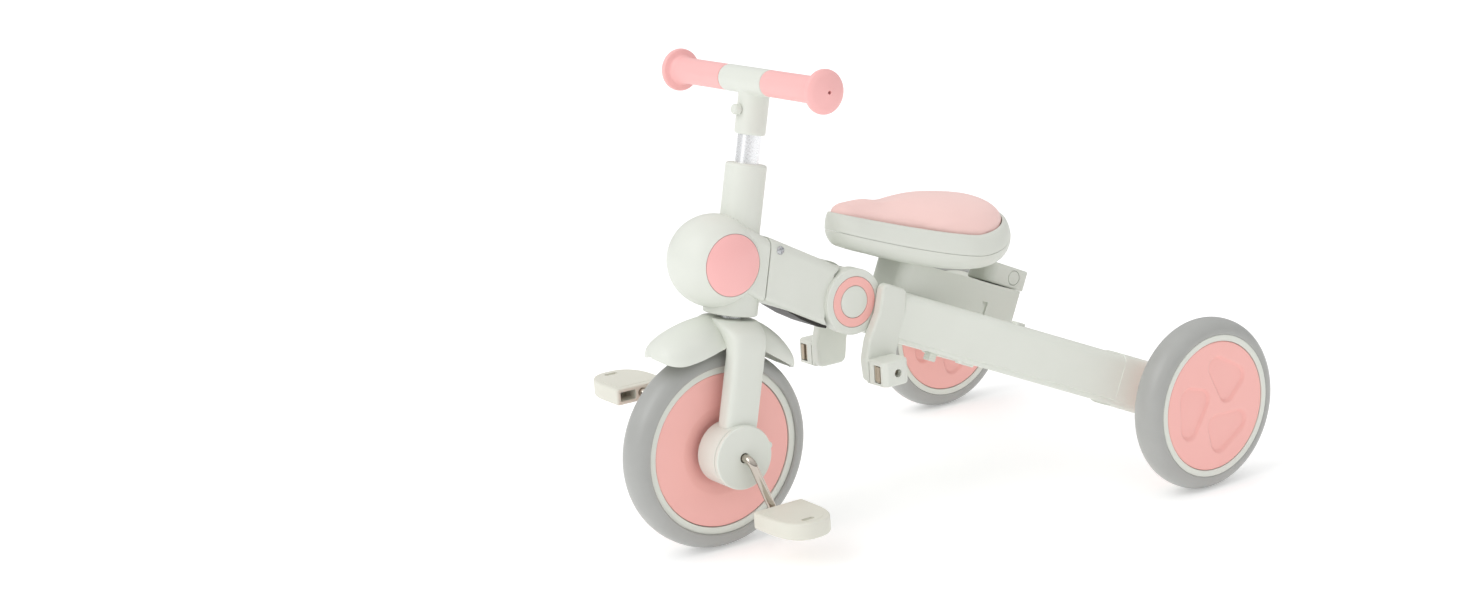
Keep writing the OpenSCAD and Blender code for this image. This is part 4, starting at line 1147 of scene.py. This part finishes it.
@dataclass
class Saddle:
    """Saddle: lower and upper shell and the padded cushion, on one pear-shaped outline."""

    nose: float = -77.0
    length: float = 234.25
    half: float = 71.0
    nose_half: float = 27.0
    nose_share: float = 0.5
    low_from_tail: float = 74.0
    tail_rise: float = 64.0
    stations: int = 76
    crest: tuple[tuple[float, float], ...] = (
        (-75, 341), (-68, 345), (-57, 345.5), (-33, 340), (-9, 334.5), (14, 334.5), (42, 334.5), (77, 332),
        (113, 326), (135, 316), (148, 305))

    def place(self, margin: float) -> Grid:
        """Stations from nose to tail inside a margin, closer at both ends by a cosine.

        Args:
            margin: How far the outline is shrunk.

        Returns:
            The y of each station.
        """
        t = (1 - np.cos(np.linspace(0, np.pi, self.stations))) / 2
        tip = self.nose_share * margin
        return self.nose + tip + (self.length - tip - margin) * t

    def width(self, y: Grid, margin: float) -> Grid:
        """Half width at y: a round tail, a smooth step down to the nose, and a round nose.

        The tail is a circle. The neck goes from the nose's to the tail's half width by t^2 (3 - 2 t),
        times the square root of 1 - back^2, where back runs from one at the tip to nought.

        Args:
            y: The y of each station.
            margin: How far the outline is shrunk.

        Returns:
            The half width at each station.
        """
        middle = self.nose + self.length - self.half
        half = self.half - margin
        tail = half * np.sqrt(np.clip(1 - ((y - middle) / half) ** 2, 0, 1))
        t = np.clip((y - self.nose) / (middle - self.nose), 0, 1)
        neck = self.nose_half - margin + (self.half - self.nose_half) * t * t * (3 - 2 * t)
        back = np.clip((self.nose + self.nose_half - y) / (self.nose_half - self.nose_share * margin), 0, 1)
        return np.where(y > middle, tail, neck * np.sqrt(1 - back**2))

    def ahead(self, y: Grid) -> Grid:
        """Share of the front stretch that lies between y and the low point."""
        low = self.nose + self.length - self.low_from_tail
        return np.clip((low - y) / (low - self.nose), 0, None)

    def behind(self, y: Grid) -> Grid:
        """How far y lies behind the low point, in units of the tail's rise."""
        return np.clip((y - (self.nose + self.length - self.low_from_tail)) / self.tail_rise, 0, None)

    def part(self, y: Grid) -> Grid:
        """Height of the parting line between the shells."""
        return FOLD_Z + 27.5 + 46.5 * self.ahead(y) ** 1.3 + 12 * self.behind(y) ** 2

    def rim(self, y: Grid) -> Grid:
        """Height of the rim round the cushion."""
        return FOLD_Z + 50 + 44.5 * self.ahead(y) ** 1.2 + 10 * self.behind(y) ** 2

    def base(self, y: Grid) -> Grid:
        """Height of the flat underside."""
        return FOLD_Z + 12 + 47.5 * self.ahead(y) ** 1.6 + 9 * self.behind(y) ** 2

    def loop(self, margin: float, heights: tuple[float, float, float, float], narrow: float = 1.0) -> Grid:
        """Closed loop of the outline.

        Args:
            margin: How far it lies inside the outline.
            heights: Shares of the base, parting and rim heights, and an offset.
            narrow: Factor on x; 0 draws the loop shut along the middle.

        Returns:
            Points down the right side and back along the left side.
        """
        y = self.place(margin)
        x = self.width(y, margin) * narrow
        z = heights[0] * self.base(y) + heights[1] * self.part(y) + heights[2] * self.rim(y) + heights[3]
        right = np.stack([-x, y, z], -1)
        left = np.stack([x, y, z], -1)[::-1]
        return np.concatenate([right, left], 0)

    def build(self) -> None:
        """Makes the shells and the cushion."""
        a = np.linspace(0, np.pi / 2, 11)
        shut = (0.0, 0.25, 0.5, 0.75, 0.92)
        low = [self.loop(15, (1, 0, 0, 0), k) for k in shut]
        low += [self.loop(15 * (1 - np.sin(t)) + 0.5, (np.cos(t) ** 1.1, 1 - np.cos(t) ** 1.1, 0, -0.25))
                for t in a]
        low += [self.loop(0.8, (0, 1, 0, -0.15)), self.loop(2.2, (0, 1, 0, -0.15)),
                self.loop(4.5, (0.6, 0.4, 0, 0))]
        low += [self.loop(16, (1, 0, 0, 3), k) for k in (1.0, 0.6, 0.3, 0.0)]
        make("saddle_lower_shell", [Shell(np.stack(low), capped=False)], CREAM, "rear_frame",
             ("seat_shell_lower",), crease=60)
        top = [self.loop(2.4, (0, 1, 0, 0.15), k) for k in (0.0, 0.4, 0.8, 1.0)]
        top += [self.loop(0.8, (0, 1, 0, 0.15)), self.loop(0.4, (0, 1, 0, 0.4))]
        top += [self.loop(9.0 * (1 - np.cos(t)) ** 0.8 + 0.3, (0, 1 - np.sin(t), np.sin(t), 0))
                for t in a[1:]]
        top += [self.loop(9.6, (0, 0, 1, -0.5)), self.loop(9.9, (0, 0, 1, -1.6)),
                self.loop(10.0, (0, 0, 1, -9))]
        top += [self.loop(10.0, (0, 0, 1, -9), k) for k in (0.7, 0.35, 0.0)]
        make("saddle_upper_shell", [Shell(np.stack(top), capped=False)], CREAM, "rear_frame",
             ("seat_shell_upper",), crease=60)
        self.cushion()

    def cushion(self) -> None:
        """Cushion: crowned pad, blown up by a cloth simulation, then creased near the nose."""
        margin = 10.6
        pad = replace(self, nose_share=0.3)
        y = pad.place(margin)
        wide = np.maximum(pad.width(y, margin), 0.3)[:, None]
        line = smooth_line(self.crest, 300)
        top = np.interp(y, line[:, 0], line[:, 1])[:, None] - 1.5
        edge = self.rim(y)[:, None] + 0.2
        t = np.linspace(0, np.pi, 49)[None, :]
        full = np.clip(np.minimum((y - y[0]) / 8, (y[-1] - y) / 16)[:, None], 0, 1) ** 0.5
        x = wide * np.cos(t)
        z = edge + np.maximum(top - edge, 0.0) * full * np.abs(np.sin(t)) ** 0.78
        roof = np.stack([x, np.broadcast_to(y[:, None], x.shape), z], -1)
        s = np.linspace(-1, 1, 13)[None, 1:-1]
        across_floor = wide * s
        along = np.broadcast_to(y[:, None], across_floor.shape)
        floor = np.stack([across_floor, along, np.broadcast_to(edge - 7.5, across_floor.shape)], -1)
        side_l, side_r = (np.stack([k * wide[:, 0], y, edge[:, 0] - 6.5], -1)[:, None] for k in (-1, 1))
        rings = np.concatenate([roof, side_l, floor, side_r], 1)
        piece = bare_mesh("saddle_cushion", [Shell(rings)])
        puff(piece, voxel=4.0, pressure=4.0, cap=4.0)
        crease_line(piece, (0.0, -52.0), (26.0, -40.0), depth=0.9, spread=3.5)
        dress(piece, PU_LEATHER, "rear_frame", ("seat_cushion",), crease=80)


def puff(piece: bpy.types.Object, voxel: float, pressure: float, cap: float) -> None:
    """Blows a pad up as cloth, keeps each point within a cap, and smooths the result.

    Args:
        piece: The pad.
        voxel: Size of the remesh grid in millimetres.
        pressure: The cloth's inner pressure.
        cap: Furthest that a point may move, in millimetres.
    """
    melt = piece.modifiers.new("even", "REMESH")
    melt.mode, melt.voxel_size, melt.use_smooth_shade = "VOXEL", voxel * MM, True
    bake(piece)
    start = vertices(piece)
    low = start[:, 2] < np.percentile(start[:, 2], 12)
    pins = piece.vertex_groups.new(name="held")
    pins.add(np.flatnonzero(low).tolist(), 1.0, "REPLACE")
    cloth = piece.modifiers.new("cloth", "CLOTH")
    cloth.settings.use_pressure = True
    cloth.settings.uniform_pressure_force = pressure
    cloth.settings.effector_weights.gravity = 0.0
    cloth.settings.vertex_group_mass = "held"
    cloth.settings.tension_stiffness = cloth.settings.compression_stiffness = 15.0
    cloth.point_cache.frame_start, cloth.point_cache.frame_end = 1, CLOTH_FRAMES
    for frame in range(1, CLOTH_FRAMES + 1):
        bpy.context.scene.frame_set(frame)
    bake(piece)
    bpy.context.scene.frame_set(1)
    move = vertices(piece) - start
    length = np.maximum(np.linalg.norm(move, axis=1), 1e-12)
    move *= (np.minimum(length, cap * MM) / length)[:, None]
    piece.data.vertices.foreach_set("co", (start + move).ravel())
    calm = piece.modifiers.new("calm", "SMOOTH")
    calm.factor, calm.iterations = 0.5, 2
    finer = piece.modifiers.new("finer", "SUBSURF")
    finer.levels = finer.render_levels = 1
    bake(piece)


def crease_line(piece: bpy.types.Object, start: tuple[float, float], end: tuple[float, float], depth: float,
                spread: float) -> None:
    """Presses a soft crease into the top of a pad.

    The drop is depth times exp(-(distance to the line / spread)^2), on faces above the pad's middle.

    Args:
        piece: The pad.
        start: (x, y) where the crease starts.
        end: (x, y) where it ends.
        depth: Its depth.
        spread: Its half width.
    """
    co = vertices(piece)
    a, b = np.array(start), np.array(end)
    flat = co[:, :2] / MM
    t = np.clip(((flat - a) @ (b - a)) / ((b - a) @ (b - a)), 0, 1)
    far = np.linalg.norm(flat - (a + t[:, None] * (b - a)), axis=1)
    co[:, 2] -= depth * MM * np.exp(-((far / spread) ** 2))
    piece.data.vertices.foreach_set("co", co.ravel())
    piece.data.update()


# ---------- rear frame ----------


@dataclass
class RearFrame:
    """Folding joint, rear legs, seat carrier and the fittings on them."""

    leg_root_x: float = 50.0
    leg_root_u: float = 57.0
    leg_end_x: float = 208.0
    bend_u: float = 344.6
    thick: float = 36.0

    def build(self) -> None:
        """Makes the rear frame's pieces."""
        self.joint()
        self.core()
        for side in Side:
            self.leg(side)
            self.leg_block(side)
            self.holder(side)
        self.carrier()
        self.socket()

    def outer_x(self, u: Grid) -> Grid:
        """Outer face of a leg: it splays out evenly and turns parallel at the wheel."""
        slope = (self.leg_end_x - self.leg_root_x) / (self.bend_u - self.leg_root_u)
        return np.minimum(self.leg_root_x + (u - self.leg_root_u) * slope, self.leg_end_x)

    def joint(self) -> None:
        """Cheeks with their pink rings and round buttons."""
        for side in Side:
            cheek = fillet([(20.7, 6.2), (20.7, 36.2), (38.0, 36.2), (38.0, 27.9), (36.2, 27.9), (36.2, 16.9),
                            (34.5, 16.9), (34.5, 6.2)], [0.6, 1.2, 1.4, 0.3, 0.2, 0.2, 0.2, 0.4])
            make(f"joint_cheek_{side.word}", [ring(cheek, around=DRUM_AROUND).moved(FOLD).on(side)], CREAM,
                 "rear_frame")
            band = fillet([(36.3, 17.9), (38.1, 17.9), (38.1, 27.4), (36.3, 27.4)], [0.2, 0.6, 0.6, 0.2])
            make(f"joint_ring_{side.word}", [ring(band, around=DRUM_AROUND).moved(FOLD).on(side)], PINK,
                 "rear_frame", ("fold_rings",) if side is Side.LEFT else ())
            t = np.linspace(0, 1, 12)
            face = np.stack([38.5 - 0.9 * t**4, 17.2 * t], 1)
            press = Shell(lathe(np.vstack([face, [(37.2, 17.3), (34.8, 17.3), (34.8, 0)]])), capped=False)
            make(f"joint_button_{side.word}", [press.moved(FOLD).on(side)], CREAM, f"{side.word}_fold_button",
                 (f"fold_button_{side.word}",))

    def core(self) -> None:
        """Web that joins the cheeks to the two legs, cut out round the beam's knuckle."""
        plan = [(-36, 14), (36, 14), (36, 50), (30, 60), (46, 122), (-46, 122), (-30, 60), (-36, 50)]
        outline = fillet(plan, [2, 2, 5, 5, 2, 2, 5, 5])
        web = Shell(plate(outline, -21.5, 22.0, 3.0)).moved(REAR)
        piece = bare_mesh("joint_web", [web])
        gap = [(-20.4, 0), (-20.4, 36.8), (20.4, 36.8), (20.4, 0)]
        carve(piece, [Shell(lathe(gap)).moved(FOLD)])
        dress(piece, CREAM, "rear_frame", ("rear_core",))

    def leg(self, side: Side) -> None:
        """Rear leg: section after section at even steps of u, with a step along its lower edge.

        Args:
            side: The leg's side.
        """
        low = -30.5
        shape = fillet([(-self.thick, low), (-1.1, low), (-1.1, low + 5.6), (0, low + 6.2), (0, 26),
                        (-self.thick, 26)], [7, 4.5, 0.4, 0.4, 9, 9], steps=6)
        u = np.concatenate([[50.0, 51, 90, 120, 123.8, 124.4], np.linspace(130, 296, 12)])
        stretch = np.hypot(1, 0.55)
        x = self.outer_x(u)[:, None] + shape[None, :, 0] * stretch
        w = np.broadcast_to(shape[None, :, 1], x.shape).copy()
        w = np.where(u[:, None] < 124, np.maximum(w, low + 1.2), w)
        leg = Shell(np.stack([x, np.broadcast_to(u[:, None], x.shape), w], -1)).moved(REAR)
        x1, x2 = self.outer_x(np.array([136.0, 178.0]))
        lip = soft_box((x1 - 16, 125, low - 2.6), (x1 - 6, 147, low + 3), 3, 1.2).moved(REAR)
        tab = soft_box((x2 - 20, 172, 24), (x2 - 9, 186, 29), 3, 1.2).moved(REAR)
        make(f"leg_{side.word}", [s.on(side) for s in (leg, lip, tab)], CREAM, "rear_frame",
             (f"rear_leg_{side.word}",))
        if side is Side.LEFT:
            stub = soft_box((44, 109, -39), (54, 119, -27), 1.0, 0.8).moved(REAR)
            ribs = [soft_box((43.8, 108.6, w0), (54.2, 119.4, w0 + 1.2), 1.0, 0.4).moved(REAR)
                    for w0 in (-37.4, -34.6, -31.8)]
            make("leg_tab_left", [stub, *ribs], CREAM, "rear_frame")

    def leg_block(self, side: Side) -> None:
        """End block: a cuff over the leg that bends straight and ends round, above the axle.

        Its half height is that of the cuff times the square root of 1 - tip^2.

        Args:
            side: The block's side.
        """
        end = 366 + 8 * np.sin(np.linspace(0.15, 1.5, 9))
        u = np.concatenate([[283.6, 284.2, 286], np.linspace(295, 366, 20), end])
        tip = np.clip((u - 345) / 29.2, 0, 0.999)
        tall = 30.0 * np.sqrt(1 - tip**2)
        tall[0] -= 0.8
        bend = np.clip((u - 330) / 26, 0, 1)
        outer = self.outer_x(u) + 0.7 - 1.2 * np.sin(np.pi * bend)
        wide = (self.thick + 3) * (np.hypot(1, 0.55) * (1 - bend) + bend)
        a, b = squircle(wide / 2, np.maximum(tall, 1.0), np.full(len(u), 5.0), 80)
        x = a + (outer - wide / 2)[:, None]
        b = np.where(b > 0, b * 0.92, b * 1.09)
        block = Shell(np.stack([x, np.broadcast_to(u[:, None], x.shape), b], -1)).moved(REAR)
        make(f"leg_block_{side.word}", [block.on(side)], CREAM, "rear_frame", (f"leg_end_{side.word}",),
             crease=50)

    def carrier(self) -> None:
        """Seat carrier: a box cut to the saddle's underside, with an L-shaped slit in each side."""
        outline = fillet([(-29, 61), (29, 61), (29, 236), (-29, 236)], [13, 13, 2.5, 2.5], steps=8)
        rings = plate(outline, 26.1, 65.0, 1.2)
        c, s = np.cos(np.radians(REAR.tilt)), np.sin(np.radians(REAR.tilt))
        u, w = rings[..., 1], rings[..., 2]
        under = Saddle().base(FOLD_Y + u * c + 58 * s) + 1.5
        rings[..., 2] = np.where(w > 50, np.minimum(w, (under - FOLD_Z + u * s) / c), w)
        piece = bare_mesh("carrier_moulding", [Shell(rings).moved(REAR)])
        cuts = []
        for side in Side:
            cuts.append(soft_box((26.6, 188.0, 26.8), (31, 191.6, 42.0), 0.3, 0.2).moved(REAR).on(side))
            cuts.append(soft_box((26.6, 184.0, 39.0), (31, 189.0, 42.0), 0.3, 0.2).moved(REAR).on(side))
        carve(piece, cuts)
        dress(piece, CREAM, "rear_frame", ("seat_carrier",))

    def socket(self) -> None:
        """Block with the push handle's socket, and the round button in its left side."""
        outline = fillet([(-21.5, 187), (21.5, 187), (21.5, 245.5), (-21.5, 245.5)], [14, 14, 2.5, 2.5],
                         steps=9)
        piece = bare_mesh("socket_block", [Shell(plate(outline, 65.7, 89.6, 2.4)).moved(REAR)])
        bore = Shell(lathe([(206, 0), (206, 9), (250, 9), (250, 0)], around=64))
        bore = Shell(np.stack([bore.points[..., 1], bore.points[..., 0], bore.points[..., 2] + 78], -1))
        well = Shell(lathe([(12.2, 0), (12.2, 8.6), (30, 8.6), (30, 0)], around=64)).moved(REAR, (0, 226, 78))
        carve(piece, [bore.moved(REAR), well])
        dress(piece, CREAM, "rear_frame", ("push_socket",))
        profile = [(16.2, 0), (16.2, 8.0), (21.2, 8.0), (21.7, 7.6), (21.9, 0)]
        button = Shell(lathe(profile, around=64), capped=False)
        make("socket_press", [button.moved(REAR, (0, 226, 78))], CREAM, "push_button", ("socket_button",))

    def holder(self, side: Side) -> None:
        """Pedal holder: a hanging arm, a box with a clip window and a round hole.

        Args:
            side: The holder's side.
        """
        profile = [(31, 18), (61, 4), (57, -32), (44, -60), (40, -89.5), (4, -89.5), (1.5, -64), (7, -42),
                   (23, -14)]
        arm = Shell(across(plate(fillet(profile, [7, 5, 8, 14, 8, 7, 16, 24, 10], steps=6), 39.2, 52.0, 3.0)))
        plan = [(48, 3.5), (76, 3.5), (80.6, 8.5), (80.6, 33), (75, 38.5), (48, 38.5)]
        box = Shell(plate(fillet(plan, [1, 4, 4, 5, 5, 1], steps=6), -89.6, -62.2, 2.2))
        piece = bare_mesh(f"pedal_rest_{side.word}", [arm.moved(FOLD).on(side), box.moved(FOLD).on(side)])
        hole = Shell(lathe([(56, 0), (56, 4.6), (84, 4.6), (84, 0)], around=48)).moved(FOLD, (0, 22, -76))
        window = soft_box((62, 0, -86), (73.6, 30, -66.6), 0.6, 0.4).moved(FOLD)
        slit = soft_box((52.6, -2, -92), (53.8, 7, -65), 0.2, 0.1).moved(FOLD)
        carve(piece, [s.on(side) for s in (hole, window, slit)])
        dress(piece, CREAM, "rear_frame", (f"pedal_holder_{side.word}",))
        u = fillet([(62.4, 28), (62.4, 4.2), (65.0, 4.2), (65.0, 26), (67.2, 26), (67.2, 2.8), (72.4, 2.8),
                    (72.4, 28)], 0.5, steps=3)
        clip = Shell(plate(u, -84.6, -67.4, 0.3)).moved(FOLD)
        make(f"pedal_clip_{side.word}", [clip.on(side)], SPRING, "rear_frame",
             ("holder_clips",) if side is Side.LEFT else ())


# ---------- surroundings ----------


@dataclass
class Studio:
    """Camera, floor and lights."""

    azimuth: float = 51.75
    height: float = 13.93
    roll: float = -2.54
    lens: float = 55.205
    place: tuple[float, float, float] = (1934.6, -1447.2, 818.7)
    shift: float = -0.1455

    def camera(self) -> None:
        """Puts the camera in front of the tricycle's left side."""
        a, e, r = np.radians([self.azimuth, self.height, self.roll])
        back = np.array([np.sin(a) * np.cos(e), -np.cos(a) * np.cos(e), np.sin(e)])
        right = np.cross([0, 0, 1], back)
        right /= np.linalg.norm(right)
        up = np.cross(back, right)
        right, up = right * np.cos(r) + up * np.sin(r), -right * np.sin(r) + up * np.cos(r)
        data = bpy.data.cameras.new("camera")
        data.sensor_width, data.lens, data.shift_x = 36.0, self.lens, self.shift
        data.clip_start, data.clip_end = 0.05, 100.0
        camera = bpy.data.objects.new("camera", data)
        turn = Matrix(np.stack([right, up, back], 1).tolist()).to_4x4()
        camera.matrix_world = Matrix.Translation(Vector([c * MM for c in self.place])) @ turn
        bpy.context.scene.collection.objects.link(camera)
        bpy.context.scene.camera = camera

    def floor(self) -> None:
        """White paper floor, wide enough to fill the view."""
        mesh = bpy.data.meshes.new("floor")
        mesh.from_pydata([(-30, -30, 0), (30, -30, 0), (30, 30, 0), (-30, 30, 0)], [], [(0, 1, 2, 3)])
        floor = bpy.data.objects.new("floor", mesh)
        bpy.context.scene.collection.objects.link(floor)
        paper = bpy.data.materials.new("white_paper")
        paper.use_nodes = True
        tree = paper.node_tree
        tree.nodes.clear()
        sheet = add(tree, "ShaderNodeBsdfPrincipled", {
            "Base Color": linear("#f8f8f8"), "Roughness": 0.9, "Specular IOR Level": 0.1,
            "Emission Color": linear("#ffffff"), "Emission Strength": 0.25})
        add(tree, "ShaderNodeOutputMaterial", {"Surface": sheet.outputs[0]})
        mesh.materials.append(paper)
        floor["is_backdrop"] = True

    def lights(self) -> None:
        """Bright surroundings with darker walls low down, a broad high light and a soft box.

        The dark band gives bright metal its dark edges; it hardly changes the plastics.
        """
        world = bpy.data.worlds.new("studio")
        world.use_nodes = True
        tree = world.node_tree
        tree.nodes.clear()
        way = add(tree, "ShaderNodeTexCoord").outputs["Generated"]
        high = add(tree, "ShaderNodeSeparateXYZ", {"Vector": way}).outputs["Z"]
        ramp = add(tree, "ShaderNodeValToRGB", {"Fac": high})
        stops = ramp.color_ramp.elements
        stops[0].position, stops[0].color = 0.0, (0.30, 0.29, 0.28, 1.0)
        stops[1].position, stops[1].color = 1.0, (1.5, 1.5, 1.5, 1.0)
        for place, level in ((0.16, 0.66), (0.32, 0.96), (0.65, 1.1)):
            stops.new(place).color = (level, level, level, 1.0)
        sky = add(tree, "ShaderNodeBackground", {"Color": ramp.outputs[0], "Strength": 0.71})
        add(tree, "ShaderNodeOutputWorld", {"Surface": sky.outputs[0]})
        bpy.context.scene.world = world
        key = bpy.data.lights.new("key", "SUN")
        key.energy, key.angle = 0.62, np.radians(40)
        self.aim("key", key, (-0.3, -2.6, 3.0))
        box = bpy.data.lights.new("soft box", "AREA")
        box.shape, box.size, box.size_y, box.energy = "RECTANGLE", 1.6, 2.2, 10.0
        self.aim("soft box", box, (0.4, -3.0, 1.5))

    def aim(self, name: str, light: bpy.types.Light, place: tuple[float, float, float]) -> None:
        """Places a light so that it points at the middle of the tricycle.

        Args:
            name: Name of the light's object.
            light: The light.
            place: Where it stands, in metres.
        """
        made = bpy.data.objects.new(name, light)
        made.location = place
        way = Vector((0.0, 0.0, 0.22)) - Vector(place)
        made.rotation_euler = way.to_track_quat("-Z", "Y").to_euler()
        bpy.context.scene.collection.objects.link(made)

    def build(self) -> None:
        """Sets the camera, the floor and the lights."""
        bpy.context.scene.view_settings.view_transform = "Standard"
        self.camera()
        self.floor()
        self.lights()


def dress_hidden(frame: dict) -> None:
    """Gives every CAD node its finish, also those that another piece stands for.
    """
    finishes = {f.slot: f for f in (CREAM, PINK, GRIP, TYRE, NYLON, PU_LEATHER, NICKEL, ANODISED, ZINC,
                                    SPRING, BLACK, BLACK_STEEL)}
    slots = {s["node"]: s["material_slot"] for s in frame["record"]["subparts"]}
    for name, piece in frame["nodes"].items():
        piece.data.materials.clear()
        piece.data.materials.append(finishes[slots[name]].material())


def main() -> None:
    """Builds the tricycle's looks in order."""
    logging.basicConfig(level=logging.INFO, format="%(message)s")
    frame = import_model()
    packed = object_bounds()
    Studio().build()
    dress_hidden(frame)
    FrontWheel().build()
    Steering().build()
    Head().build()
    Handlebar().build()
    RearFrame().build()
    for side in Side:
        RearWheel(side).build()
    Saddle().build()
    boxes = {name: [list(map(float, corner)) for corner in box]
             for name, box in (("cad", packed), ("visual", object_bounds()))}


if __name__ == "__main__":
    main()
